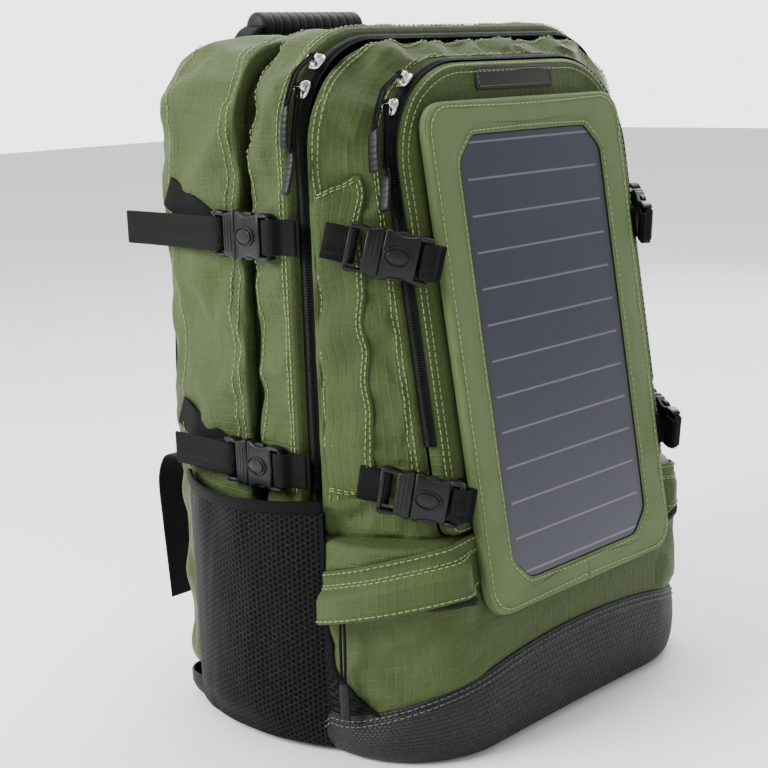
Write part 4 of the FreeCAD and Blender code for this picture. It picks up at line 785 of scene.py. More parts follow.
def base_edge(x, y):
    """Height of the black base's top edge."""
    rise = 20 + 40 * np.sqrt(np.clip(1 - (x / (HALF + 4)) ** 2, 0, 1))
    return rise * smooth(-28, -44, y) + 17 * (1 - smooth(-28, -44, y))


def bottom_grid():
    p = plan()
    rows = []
    for x, y in p:
        low = base_edge(x, y) - 6
        col = []
        for f in np.linspace(0, 1, 22):
            z = low + (130 - low) * f
            yy = max(y, board_plane(z, 10.0)) if y < -60 else y
            col.append((x, yy, z))
        rows.append(col)
    return np.array(rows)


bottom_P = bottom_grid()


def seeded(P, close_u, size=26.0, height=1.3, seed=0.0, fade=None):
    N = Cloth(P, close_u).normals()
    amount = rough_noise(P, size, height, seed)
    if fade is not None:
        amount = amount * fade
    return P + N * amount[..., None]


def column_mask(P, first, last):
    mask = np.zeros(P.shape[:2])
    mask[:, :first] = 1
    mask[:, P.shape[1] - last:] = 1
    return mask


rear_hold = np.maximum(column_mask(rear_P, 4, 5), near_strap(rear_P[..., 2], 7) * side_of(rear_P))
second_hold = np.maximum(column_mask(second_P, 5, 3), near_strap(second_P[..., 2], 7) * side_of(second_P))
pocket_hold = np.maximum(column_mask(pocket_P, 3, 4),
        near_strap(pocket_P[..., 2], 6) * side_of(pocket_P) * 0.9)
bottom_hold = np.zeros(bottom_P.shape[:2])
bottom_hold[:, :2] = 1
bottom_hold[:, -2:] = 1
bottom_hold[:1] = bottom_hold[-1:] = 1
bottom_hold = np.maximum(bottom_hold, smooth(-100, -106, bottom_P[..., 1]) * (np.abs(bottom_P[..., 0]) < 88))

to_settle("rear", seeded(rear_P, True, 34, 2.4, 3.1, 1 - rear_hold), True, rear_hold, 2.6, 0.035, 5.0)
to_settle("second", seeded(second_P, True, 27, 2.6, 9.7, 1 - second_hold), True, second_hold, 2.2, 0.05, 5.0)
to_settle("pocket", seeded(pocket_P, True, 28, 3.2, 5.2, 1 - pocket_hold), True, pocket_hold, 2.0, 0.05, 6.0)
to_settle("bottom", seeded(bottom_P, False, 26, 2.8, 1.4, 1 - bottom_hold), False, bottom_hold, 1.6, 0.06,
        5.0)
rear_P, second_P, pocket_P, bottom_P = settle()
rear, second = Cloth(rear_P, True), Cloth(second_P, True)
pocket, bottom = Cloth(pocket_P, True), Cloth(bottom_P)


def shell(name, cloth, mat, slot, replaces, cap_columns=(), level=1):
    parts = Parts()
    P = cloth.P
    parts.grid(P, cloth.close)
    for column in cap_columns:
        n, m = P.shape[:2]
        index = column % m
        ring = [i * m + index for i in range(n)]
        parts.faces.append(tuple(ring) if column < 0 else tuple(reversed(ring)))
    return parts.build(name, mat, "bag", slot, level, replaces)


def sealed(closed, flip=False):
    """A sheet's two faces as one closed surface, with its two ends shut."""
    parts = Parts().grid(closed, close_v=True, flip=flip)
    n, k = closed.shape[:2]
    parts.faces.append(tuple(range(k)))
    parts.faces.append(tuple((n - 1) * k + i for i in reversed(range(k))))
    return parts


def lidded_shell():
    """The bottom compartment with its top turned in under the pocket."""
    P = bottom.P
    centre = np.array([0.0, -30.0])
    rows = [P]
    for inward, rise in ((0.985, 1.6), (0.95, 2.6), (0.85, 3.0), (0.5, 3.0)):
        ring = P[:, -1:].copy()
        ring[..., :2] = centre + (ring[..., :2] - centre) * inward
        ring[..., 2] += rise
        rows.append(ring)
    parts = Parts().grid(np.concatenate(rows, 1))
    return parts.build("bottom_shell", "ripstop", "bag", "ripstop", 1, ["bottom_compartment"])


rear_shell = shell("rear_shell", rear, "ripstop", "ripstop", ["rear_compartment"], (0, -1))
second_shell = shell("second_shell", second, "ripstop", "ripstop", ["second_compartment"], (0, -1))
pocket_shell = shell("pocket_shell", pocket, "ripstop", "ripstop", [], ())
bottom_shell = lidded_shell()


# front pocket's flat face, behind the board
def pocket_face():
    rings = []
    for inset, w in ((0.2, 17.0), (0.0, 13.0), (0.6, 10.4), (2.2, 9.3), (5.0, 9.0), (12, 8.8), (24, 8.4),
            (44, 8.2), (70, 8.2)):
        o = arch(106 - inset, -93 + inset, 172 - inset, max(8 - inset, 1), max(58 - inset, 4))
        rings.append(lean(w, o[:, 0], o[:, 1]))
    P = np.array(rings).transpose(1, 0, 2)
    v = (P - MIDDLE) @ UPB
    inner = np.arange(P.shape[1]) >= 3
    swell = smooth(150, 162, v) * inner[None, :] * 1.6 + rough_noise(P, 30, 0.7, 2.2) * inner[None, :]
    P = P - INB * np.maximum(swell, -0.4)[..., None]
    parts = Parts().grid(P, True, flip=False)
    n, m = P.shape[:2]
    parts.faces.append(tuple(reversed([i * m + m - 1 for i in range(n)])))
    return parts.build("pocket_face", "ripstop_flat", "bag", "ripstop", 1, ["front_pocket"]), P


_, face_P = pocket_face()


# black base with its coarse weave
def base_piece():
    front = plan(1.2, 65, 30, 22, 36)
    back_r, back_y = 18.0, REAR_BACK + 0.6
    pts = [tuple(p) for p in front]
    half = HALF + 1.2
    right = [(half, y) for y in np.linspace(SEAM + 4, back_y - back_r, 26, endpoint=False)]
    arc = [(half - back_r + back_r * math.cos(a), back_y - back_r + back_r * math.sin(a))
           for a in np.linspace(0, math.pi / 2, 7, endpoint=False)]
    rear_line = [(x, back_y) for x in np.linspace(half - back_r, back_r - half, 44, endpoint=False)]
    loop = pts + right + arc + rear_line + [(-x, y) for x, y in arc[::-1]] + [(-x, y) for x, y in right[::-1]]
    loop = np.array(loop)
    centre = np.array([0, -5.0])
    rows = []
    for x, y in loop:
        top = base_edge(x, y)
        out = np.array([x, y]) - centre
        out /= np.linalg.norm(out)
        col = []
        for inset, z in ((60, 0.05), (22, 0.0), (11, 0.0), (5.5, 1.2), (2.2, 4.0), (0.5, 8.5)):
            col.append((x - out[0] * inset, y - out[1] * inset, z))
        for f in np.linspace(0.12, 1.0, 10):
            z = 8.5 + (top - 8.5) * f
            yy = max(y, board_plane(z, 9.2)) if y < -60 else y
            belly = 1.6 * math.sin(math.pi * f) * smooth(-30, -50, y)
            col.append((x + out[0] * belly, yy + out[1] * belly, z))
        col.append((x - out[0] * 1.4, max(y, board_plane(top,
                9.2)) - out[1] * 1.4 if y < -60 else y - out[1] * 1.4, top - 0.2))
        rows.append(col)
    P = np.array(rows)
    parts = Parts().grid(P, True)
    n, m = P.shape[:2]
    parts.faces.append(tuple(reversed([i * m for i in range(n)])))
    return parts.build("base_shell", "base", "bag", "base_weave", 1, ["base_panel"]), P


_, base_P = base_piece()

# ------------------------------------------------------------------ resting things on the cloth
class Ground:
    """Surfaces that trims lie on."""

    def __init__(self, *cloths):
        verts, faces, count = [], [], 0
        for c in cloths:
            p = Parts().grid(c.P, c.close)
            verts.append(np.concatenate(p.verts))
            faces += [tuple(i + count for i in f) for f in p.faces]
            count += len(verts[-1])
        self.tree = BVHTree.FromPolygons([Vector(v) for v in np.concatenate(verts)], faces)

    def drop(self, points, toward, lift=0.0, reach=45.0):
        """Points moved along `toward` onto the surface, with the surface's outward normals."""
        points = np.asarray(points, float)
        flat = points.reshape(-1, 3)
        ways = np.broadcast_to(np.asarray(toward, float), points.shape).reshape(-1, 3)
        out, normals = [], []
        for p, w in zip(flat, ways):
            w = w / np.linalg.norm(w)
            hit, normal, _, _ = self.tree.ray_cast(Vector(p - w * reach), Vector(w), reach * 2)
            if hit is None:
                out.append(p)
                normals.append(-w)
                continue
            n = np.array(normal)
            n = -n if n.dot(w) > 0 else n
            out.append(np.array(hit) + n * lift)
            normals.append(n)
        return np.array(out).reshape(points.shape), np.array(normals).reshape(points.shape)


def relax(P, times=2, closed=False):
    """Softens a grid along its rows, with both ends kept."""
    P = P.copy()
    for _ in range(times):
        Q = P.copy()
        if closed:
            Q = (np.roll(P, 1, 0) + 2 * P + np.roll(P, -1, 0)) / 4
        else:
            Q[1:-1] = (P[:-2] + 2 * P[1:-1] + P[2:]) / 4
        P = Q
    return P


def row_at_depth(cloth, y, lift=0.15, skip=0):
    """The line round a compartment where its cloth has depth y, with normals."""
    P, N = cloth.P, cloth.normals()
    pts, nor = [], []
    for i in range(P.shape[0]):
        ys = P[i, :, 1]
        cross = [j for j in range(skip, P.shape[1] - 1) if (ys[j] - y) * (ys[j + 1] - y) <= 0]
        if not cross:
            continue
        radial = [np.hypot(P[i, j, 0], P[i, j, 2] - 200) for j in cross]
        j = cross[int(np.argmax(radial))]
        f = (y - ys[j]) / (ys[j + 1] - ys[j] + 1e-9)
        p, n = P[i, j] * (1 - f) + P[i, j + 1] * f, N[i, j] * (1 - f) + N[i, j + 1] * f
        if n.dot(p - np.array([0, p[1], 200])) < 0:
            n = -n
        pts.append(p + n * lift)
        nor.append(n)
    return np.array(pts), np.array(nor)


def column_line(cloth, s, lift=0.15, centre=(0, -40, 240)):
    pts = cloth.at(np.arange(cloth.P.shape[0]), s)
    nor = Cloth(cloth.P, cloth.close).normals()[:, int(round(s))]
    flip = np.sign(((pts - np.array(centre)) * nor).sum(1))[:, None]
    nor = nor * flip
    return pts + nor * lift, nor


def above(line, floor_z):
    """Cuts a closed line down to its longest run above a height."""
    pts, nor = line
    keep = pts[:, 2] > floor_z
    if keep.all():
        return pts, nor
    first = int(np.nonzero(~keep & np.roll(keep, -1))[0][0]) + 1
    order = [(first + k) % len(pts) for k in range(int(keep.sum()))]
    return pts[order], nor[order]


seams_light, seams_green, seams_dark = Parts(), Parts(), Parts()


def row(parts, line, floor_z=0.0, **sizes):
    pts, nor = above(line, floor_z) if floor_z else line
    stitched(parts, pts, nor, **sizes)


for y in (-19.2, -16.6):
    row(seams_light, row_at_depth(second, y), 150)
row(seams_light, row_at_depth(second, 6.5), 152)
for y in (24.2, 29.5):
    row(seams_light, row_at_depth(rear, y), 152)
row(seams_green, row_at_depth(rear, 80.0), 152)
for s in (4.2, 6.0, 24.6, 26.0):
    row(seams_light, column_line(pocket, s), 150)
face_cloth = Cloth(face_P, True)
for s in (3.3, 4.3):
    row(seams_light, column_line(face_cloth, s, 0.3), 0)

# ------------------------------------------------------------------ zips
def arc_path(half, high, r, end, inset, step=1.5):
    """An arch's line in its own plane: points with outward normals, from one end to the other."""
    h, top, rr = half - inset, high - inset, r - inset
    cx, cz = half - r, high - r
    pts, nor = [], []

    def add(p, n):
        pts.append(p)
        nor.append(n)

    for z in np.arange(end, cz, step):
        add((-h, z), (-1, 0))
    for a in np.arange(math.pi, math.pi / 2, -step / rr):
        add((-cx + rr * math.cos(a), cz + rr * math.sin(a)), (math.cos(a), math.sin(a)))
    for x in np.arange(-cx, cx, step):
        add((x, top), (0, 1))
    for a in np.arange(math.pi / 2, 0, -step / rr):
        add((cx + rr * math.cos(a), cz + rr * math.sin(a)), (math.cos(a), math.sin(a)))
    for z in np.arange(cz, end, -step):
        add((h, z), (1, 0))
    return np.array(pts), np.array(nor)


def zip_parts(line, out, across, tape=10.0, coil=5.0):
    """Tape with firm edges, and two rows of interlocking coil."""
    tapes, teeth = Parts(), Parts()
    offsets = np.array([-tape / 2, -tape / 2 + 0.7, -coil / 2 - 0.4, -0.6, 0.6, coil / 2 + 0.4,
            tape / 2 - 0.7, tape / 2])
    heights = np.array([0.25, 1.1, 0.9, 0.8, 0.8, 0.9, 1.1, 0.25])
    P = line[:, None] + across[:, None] * offsets[None, :, None] + out[:, None] * heights[None, :, None]
    tapes.grid(P, flip=True)
    length = path_length(line)
    count = int(length[-1] / 1.5)
    for k in range(count):
        for side in (-1, 1):
            q = (k + 0.5 + side * 0.25) * length[-1] / count
            p, o, a = (np.array([np.interp(q, length, arr[:, c]) for c in range(3)]) for arr in (line, out,
                    across))
            path = [p - side * a * 0.7 + o * 1.7, p + side * a * 0.2 + o * 2.45,
                    p + side * a * 1.3 + o * 2.4, p + side * a * 2.3 + o * 0.9]
            teeth.tube(path, [0.30, 0.42, 0.42, 0.36], 5, caps=False)
    return tapes, teeth


def metal_slider():
    """X along the chain, Y across it and Z out; the pull's pin lies along Y."""
    parts = Parts()
    nose = [(5.4, 0), (5.2, 1.9), (4.0, 3.6), (1.5, 4.3), (-2.0, 4.1), (-4.6, 3.4), (-5.5, 2.2), (-5.5, -2.2),
            (-4.6, -3.4), (-2.0, -4.1), (1.5, -4.3), (4.0, -3.6), (5.2, -1.9)]
    parts.slab(nose, 0.0, 1.9, 0.7, 3)
    for side in (-1, 1):
        lug = [(-2.4, 1.4), (2.4, 1.4), (2.0, 5.2), (1.1, 6.5), (-1.1, 6.5), (-2.0, 5.2)]
        plate = Parts().slab(lug, 0, 1.3, 0.35, 2)
        turn = np.array([[1, 0, 0, 0], [0, 0, 1, 2.35 if side > 0 else -3.65], [0, 1, 0, 0], [0, 0, 0, 1.0]])
        parts.join(plate.moved(turn))
    parts.tube([(0, -3.9, 5.5), (0, 3.9, 5.5)], 0.8, 10)
    bridge = [(-4.4, 0, 1.6), (-4.0, 0, 2.6), (-3.0, 0, 3.1), (3.0, 0, 3.1), (4.0, 0, 2.6), (4.4, 0, 1.6)]
    parts.strap(bridge, (0, 1, 0), 3.2, 0.8, 3)
    return parts


def cord_and_tab(path, across, tab_length=24.0, tab_width=6.6, tab_thick=2.6, strands=1.15):
    """Two cord strands that loop over the slider's pin and end in a moulded tab."""
    path = np.asarray(path, float)
    length = path_length(path)
    at = lambda q: np.array([np.interp(q, length, path[:, k]) for k in range(3)])
    end, tab_start = length[-1], length[-1] - tab_length
    across = np.asarray(across, float)
    cords, tabs = Parts(), Parts()
    lanes = np.linspace(0, tab_start + 2, 14)
    for side in (-1, 1):
        run = []
        for q in lanes:
            spread = strands + 0.35 * math.sin(math.pi * min(1, q / tab_start))
            run.append(at(q) + across * side * spread)
        cords.tube(run, 0.85, 8, normal=across)
    knots = [at(tab_start - 2.6), at(tab_start - 1.6), at(tab_start - 0.6), at(tab_start + 0.8)]
    cords.tube(knots, [1.6, 2.0, 2.0, 1.5], 10, normal=across)
    rows, uv = [], []
    spots = np.linspace(tab_start, end, 26)
    for k, q in enumerate(spots):
        f = k / 25
        p, q2 = at(q), at(min(q + 0.5, end))
        t = q2 - p if np.linalg.norm(q2 - p) > 1e-6 else at(end) - at(end - 1)
        t = t / np.linalg.norm(t)
        n = np.cross(across, t)
        round_end = math.sqrt(max(0.0, 1 - (max(0, f - 0.93) / 0.07) ** 2)) if f > 0.93 else 1.0
        w = (tab_width / 2) * (0.72 + 0.28 * smooth(0, 0.22, f)) * max(0.25, round_end)
        rib = 0.22 * (1 + math.cos(2 * math.pi * f * 7)) * (0.15 < f < 0.85)
        h = (tab_thick / 2) * (0.75 + 0.25 * smooth(0, 0.15, f)) * max(0.35, round_end) - rib
        ang = np.linspace(0, 2 * math.pi, 14, endpoint=False)
        c, s = np.cos(ang), np.sin(ang)
        sq = (np.abs(c) ** 4 + np.abs(s) ** 4) ** -0.25
        rows.append([p + across * w * a * m + n * h * b * m for a, b, m in zip(c, s, sq)])
        uv.append([(a * w, q) for a in c])
    start = tabs.count
    tabs.grid(np.array(rows), close_v=True, uvs=np.array(uv))
    return cords, tabs.ends(start, len(rows), 14)


def axes_matrix(origin, xa, ya, za):
    m = np.eye(4)
    m[:3, 0], m[:3, 1], m[:3, 2], m[:3, 3] = xa, ya, za, origin
    return m


def loop_over_pin(cords):
    """The cord's bight round a pin along Y at the origin, hanging along -Z."""
    for side in (-1, 1):
        pts = [(1.5 * math.sin(a), side * (1.15 - 0.35 * math.cos(a)),
                1.5 * math.cos(a)) for a in np.linspace(-1.9, 1.9, 9)]
        cords.tube(pts, 0.85, 8)


def hanging_pull(length, width=6.6, bend=0.0):
    path = spline([(0, 0, -0.9), (0.2 + bend * 0.3, 0, -length * 0.35), (bend, 0, -length * 0.7),
            (0, 0, -length)], 40)
    cords, tabs = cord_and_tab(path, Y, tab_width=width)
    loop_over_pin(cords)
    return cords, tabs


def lane_pull(radius, lane, length, width=6.6):
    """A pull that lies along an arc about (0, 0) from its pin at (-radius, 0)."""
    pts = [(-radius - 0.9, 0, -0.6)]
    for a in np.linspace(math.radians(9), length / radius, 30):
        pts.append((-lane * math.cos(a), 0, -lane * math.sin(a)))
    path = spline(np.array(pts)[::3].tolist() + [pts[-1]], 48)
    cords, tabs = cord_and_tab(path, Y, tab_width=width)
    ring = Parts()
    loop_over_pin(ring)
    cords.join(ring.moved(axes_matrix((-radius, 0, 0), X, Y, Z)))
    return cords, tabs


SLIDER_SPREAD, PULL_SLANT, PIN_HEIGHT, LANE_RISE = 18, 13, 5.5, 4.6


def turn_about_depth(angle):
    """Rotation about +Y by degrees."""
    a = math.radians(angle)
    return np.array([[math.cos(a), 0, math.sin(a)], [0, 1, 0], [-math.sin(a), 0, math.cos(a)]])


def add_zip(prefix, flat, place, corner, low_angle, run, lengths, tab_width, bend):
    """`place` maps (u, depth, v) of the zip's own plane into the bag."""
    pts, nor = flat
    line = place(np.column_stack([pts[:, 0], np.zeros(len(pts)), pts[:, 1]]))
    base = place(np.zeros((1, 3)))[0]
    direction = lambda d: place(np.asarray(d, float).reshape(-1, 3)) - base
    out = direction(np.column_stack([nor[:, 0], np.zeros(len(nor)), nor[:, 1]]))
    across = np.broadcast_to(direction(Y)[0], out.shape)
    tapes, teeth = zip_parts(line, out, across)
    tapes.build(prefix + "_zip_tape", "tape", "bag", "zip_tape", 0, [prefix + "_zip"])
    teeth.build(prefix + "_zip_coil", "coil", "bag", "zip_tape")
    frame3 = np.column_stack([direction(X)[0], direction(Y)[0], direction(Z)[0]])
    for level_name, angle in (("upper", low_angle + SLIDER_SPREAD), ("lower", low_angle)):
        R = turn_about_depth(angle - 90)
        spot = np.array([-corner[0], 0, corner[1]])
        seat = spot + R @ (Z * run)
        world = frame3 @ R
        body = "%s_slider_%s" % (prefix, "high" if level_name == "upper" else "low")
        m = axes_matrix(place(seat[None])[0], world[:, 0], world[:, 1], world[:, 2])
        node = "%s_slider_%s" % (prefix, level_name)
        metal_slider().moved(m).build(node + "_metal", "chrome", body, "slider", 0, [node])
        body = "%s_pull_%s" % (prefix, "high" if level_name == "upper" else "low")
        node = "%s_pull_%s" % (prefix, level_name)
        if level_name == "upper":
            cords, tabs = lane_pull(run + PIN_HEIGHT, run + PIN_HEIGHT + LANE_RISE, lengths[0], tab_width)
            world = frame3 @ turn_about_depth(angle)
            m = axes_matrix(place(spot[None])[0], world[:, 0], world[:, 1], world[:, 2])
        else:
            cords, tabs = hanging_pull(lengths[1], tab_width, bend)
            pin = spot + R @ (Z * (run + PIN_HEIGHT))
            world = frame3 @ turn_about_depth(PULL_SLANT)
            m = axes_matrix(place(pin[None])[0], world[:, 0], world[:, 1], world[:, 2])
        cords.moved(m).build(node + "_cord", "cord", body, "pull", 0, [node])
        tabs.moved(m).build(node + "_tab", "pull", body, "pull", 0)


def main_place(q):
    return np.asarray(q, float) + np.array([0, -28.0, 0])


def pocket_place(q):
    q = np.asarray(q, float)
    return MIDDLE + q[:, :1] * X + q[:, 2:] * UPB + (q[:, 1:2] + 15.0) * INB


add_zip("main", arc_path(145, CROWN, 62, 142, 8.0), main_place, (83, CROWN - 62), 29, 54 + 3.2, (54, 60),
        5.6, 1.2)
add_zip("pocket", arc_path(106, 172, 58, -40, 0.0), pocket_place, (48, 114), 34, 58 + 3.2, (60, 60), 7.6, 0.8)

# lower zip, round the front corners of the bottom compartment
bottom_ground = Ground(bottom)
ring = np.array([p for p in plan(0.0, 65, 50, 44, 110) if p[1] < -42])
tapes, teeth = Parts(), Parts()
for s in (-1, 1):
    low_line = np.array([(x, y, LOWER_ZIP) for x, y in ring if x * s > 93])
    low_out = np.cross(np.gradient(low_line, axis=0), Z)
    low_out /= np.linalg.norm(low_out, axis=1)[:, None]
    low_out *= np.sign((low_out * (low_line - np.array([0, 0, LOWER_ZIP]))).sum(1))[:, None]
    low_hit, _ = bottom_ground.drop(low_line, -low_out, 0.1)
    gap = ((low_hit - low_line) * low_out).sum(1)
    gap = np.convolve(np.pad(np.maximum(gap, 0), 6, mode="edge"), np.ones(13) / 13, mode="valid")
    low_line = low_line + low_out * (gap * (s > 0))[:, None]
    tape_half, teeth_half = zip_parts(low_line, low_out, np.broadcast_to(Z, low_out.shape))
    tapes.join(tape_half)
    teeth.join(teeth_half)
tapes.build("lower_zip_tape", "ripstop_flat", "bag", "zip_tape", 0, ["lower_zip"])
teeth.build("lower_zip_coil", "coil", "bag", "zip_tape")
angle = math.radians(11)
low_dir = np.array([-math.cos(angle), -math.sin(angle), 0])
low_along = np.array([-low_dir[1], low_dir[0], 0])
low_spot = SEAT_CENTRE + low_dir * (65 + 3.2)
quarter = np.array([[0.0, -1, 0, 0], [1, 0, 0, 0], [0, 0, 1, 0], [0, 0, 0, 1]])
flat_turn = axes_matrix(low_spot, low_along, Z, low_dir)
body_only = metal_slider()
body_only.moved(quarter).moved(flat_turn).build("lower_slider_metal", "chrome", "lower_slider", "slider", 0,
        ["lower_slider"])
cords, tabs = hanging_pull(68, 6.4, 1.0)
m = axes_matrix(low_spot + low_dir * PIN_HEIGHT, low_dir, low_along, Z)
cords.moved(m).build("lower_pull_cord", "cord", "lower_pull", "pull", 0, ["lower_pull"])
tabs.moved(m).build("lower_pull_tab", "pull", "lower_pull", "pull", 0)

# ------------------------------------------------------------------ buckles and compression straps
def mirrored_y(points):
    """An outline completed by its own mirror image across Y."""
    return list(points) + [(x, -y) for x, y in reversed(points)]


def socket_parts():
    """X runs to the clip, Y across the strap, Z out; the mouth is at X 0."""
    parts = Parts()
    body = mirrored_y([(0, 13.4), (-1.2, 14.0), (-3.2, 13.9), (-5.2, 12.9), (-8, 11.9), (-11.5, 11.5),
            (-15, 12.0),
                       (-18, 13.0), (-20.2, 13.2)])
    parts.slab(body[::-1], 0.0, 8.0, 1.5, 4, dome=1.6)
    for side in (-1, 1):
        rail = [(-19.8, side * 10.9), (-27.0, side * 10.9), (-27.9, side * 11.6), (-27.2, side * 12.6),
                (-25, side * 13.2), (-19.8, side * 13.4)]
        parts.slab(rail, 0.4, 6.8, 1.0, 3)
        arm = [(-4.4, side * 11.4), (-6, side * 12.9), (-8.5, side * 13.7), (-11.5, side * 13.8),
                (-13.6, side * 13.0), (-14.6, side * 11.4)]
        parts.slab(arm, 2.4, 5.6, 0.6, 2)
    parts.slab([(-28, -11.2), (-25.4, -11.2), (-25.4, 11.2), (-28, 11.2)], 2.2, 5.8, 1.0, 3)
    oval = [(-9 + 7.6 * math.cos(a), 5.4 * math.sin(a),
            7.75 - 1.6 * (5.4 * math.sin(a) / 14) ** 2) for a in np.linspace(0, 2 * math.pi, 37)]
    parts.tube(oval, 0.42, 6, caps=False)
    inner = [(-9 + 6.0 * math.cos(a), 4.0 * math.sin(a)) for a in np.linspace(0, 2 * math.pi, 24,
            endpoint=False)]
    parts.slab(inner, 7.4, 8.25, 0.4, 2, dome=0.2)
    lip = mirrored_y([(-1.0, 12.6), (-2.2, 12.6)])
    parts.slab(lip[::-1], 6.9, 8.3, 0.5, 2, dome=1.4)
    return parts


def clip_parts():
    """The half with the prongs, in the same frame as the socket."""
    parts = Parts()
    body = mirrored_y([(0.3, 12.9), (1.4, 13.8), (3.4, 13.9), (5.2, 12.9), (7.4, 12.4), (10.0, 12.4)])
    parts.slab(body, 0.0, 8.0, 1.4, 4, dome=1.4)
    for side in (-1, 1):
        rail = [(9.6, side * 10.8), (19.0, side * 10.8), (20.0, side * 11.6), (19.4, side * 13.1),
                (17, side * 13.7), (9.6, side * 12.9)]
        parts.slab(rail, 0.5, 7.0, 1.1, 3)
        arm = [(-13.8, side * 8.6), (-13.8, side * 11.0), (-4, side * 11.6), (1, side * 11.6),
                (1, side * 8.6)]
        parts.slab(arm, 2.5, 5.5, 0.5, 2)
    parts.slab([(-13, -1.5), (1, -1.5), (1, 1.5), (-13, 1.5)], 2.5, 5.5, 0.5, 2)
    parts.slab([(17.2, -11), (19.9, -11), (19.9, 11), (17.2, 11)], 2.3, 5.8, 1.1, 3)
    for x in (3.0, 5.4, 7.8):
        parts.slab([(x, -9.5), (x + 1.1, -9.5), (x + 1.1, 9.5), (x, 9.5)], 7.2, 8.1, 0.4, 2, dome=0.8)
    return parts


def tail_webbing(tail, droop=0.8):
    """Webbing from the anchor's side, up through the frame, back over the bar and on as a free end."""
    path = [(33, 0, 2.5), (26, 0, 2.5), (18, 0, 2.6), (14.6, 0, 3.2), (13.7, 0, 5.4), (14.8, 0, 7.7),
            (18.5, 0, 8.4), (24, 0, 8.2)]
    path += [(x, 0, 8.2 - droop * math.sin(math.pi * (x - 24) / (tail - 24))) for x in np.linspace(30, tail,
            9)]
    return Parts().strap(spline(path, 64), Y, WEBBING, 1.4)


def socket_webbing(run):
    """Webbing from the seam, round the socket's bar and back."""
    path = [(-run, 0, 0.9), (-run + 6, 0, 0.9), (-27, 0, 0.9), (-24.2, 0, 1.2), (-22.7, 0, 2.6),
            (-22.3, 0, 5.0), (-22.9, 0, 7.4),
            (-24.8, 0, 8.3), (-28, 0, 8.2), (-30.2, 0, 7.0), (-31.0, 0, 4.8), (-32.2, 0, 2.8),
            (-34.5, 0, 2.2), (-run + 2, 0, 2.1)]
    return Parts().strap(spline(path, 70), Y, WEBBING, 1.3)


def strap_frames():
    """Local frames of the left side's buckles, as 4 by 4 matrices."""
    out = {}
    for name, h in zip(("upper", "lower"), STRAPS):
        out[name, "rear"] = axes_matrix((-HALF, 14.0, h), Y, -Z, -X)
        face = lean(9.0, -106.0, (h - 228) / math.cos(LEAN))
        start = np.array([-140.0, -42.0, h])
        end = np.array([face[0], face[1], h - FRONT_DROP])
        length = np.linalg.norm(end - start)
        along = (end - start) / length
        outward = -np.cross(Z, along)
        outward /= np.linalg.norm(outward)
        origin = start + outward * 1.2 + along * (length - 16)
        out[name, "front"] = axes_matrix(origin, -along, np.cross(outward, -along), outward)
    return out


FRAMES = strap_frames()
LIFT = axes_matrix((0, 0, 1.7), X, Y, Z)
sockets, held = Parts(), Parts()
TAILS = {"upper": 100.0, "lower": 66.0}
anchor_ground = Ground(rear)
for (name, place_name), m in FRAMES.items():
    for side in ("left", "right"):
        world = MIRROR @ m if side == "right" else m
        sockets.join(socket_parts().moved(LIFT).moved(world))
        node = "%s_%s_%s" % (name, place_name, side)
        clip_parts().moved(LIFT).moved(world).build("clip_%s_shell" % node, "buckle", "clip_" + node,
                "buckle", 0, ["clip_" + node])
        if place_name == "rear":
            tail_webbing(TAILS[name]).moved(world).build("strap_%s_cloth" % node, "webbing", "clip_" + node,
                    "webbing", 0, ["strap_" + node])
            held.join(socket_webbing(46).moved(world))
            n = 26
            xs = np.linspace(22, 68, n)
            path = np.column_stack([xs, -22 * (xs - 24) / 44, np.full(n, 0.9)])
            pts = (np.column_stack([path, np.ones(n)]) @ world.T)[:, :3]
            down, _ = anchor_ground.drop(pts, -world[:3, 2], 0.8, 20)
            pts = np.where(((down - pts) * world[:3, 2]).sum(1)[:, None] > 0, down, pts)
            held.strap(relax(pts, 6), world[:3, 1] + 0.0 * pts, WEBBING, 1.4)
        else:
            held.join(socket_webbing(34).moved(world))
            flat = [(14, 0, 0.9), (20, 0, 0.9), (27, 0, 0.9), (33, 0, 0.9)]
            held.join(Parts().strap(spline(flat, 8), Y, WEBBING, 1.4).moved(world))
            h = STRAPS[0] if name == "upper" else STRAPS[1]
            v = (h - FRONT_DROP - MIDDLE[2]) / math.cos(LEAN)
            s = 1 if side == "right" else -1
            pts = lean(8.0, np.linspace(s * 104, s * 76, 8), np.full(8, v))
            held.strap(pts, UPB, WEBBING, 1.4)
sockets.build("buckle_sockets_shell", "buckle", "bag", "buckle", 0, ["buckle_sockets"])
held.build("strap_anchor_cloth", "webbing", "bag", "webbing", 0, ["strap_anchors"])

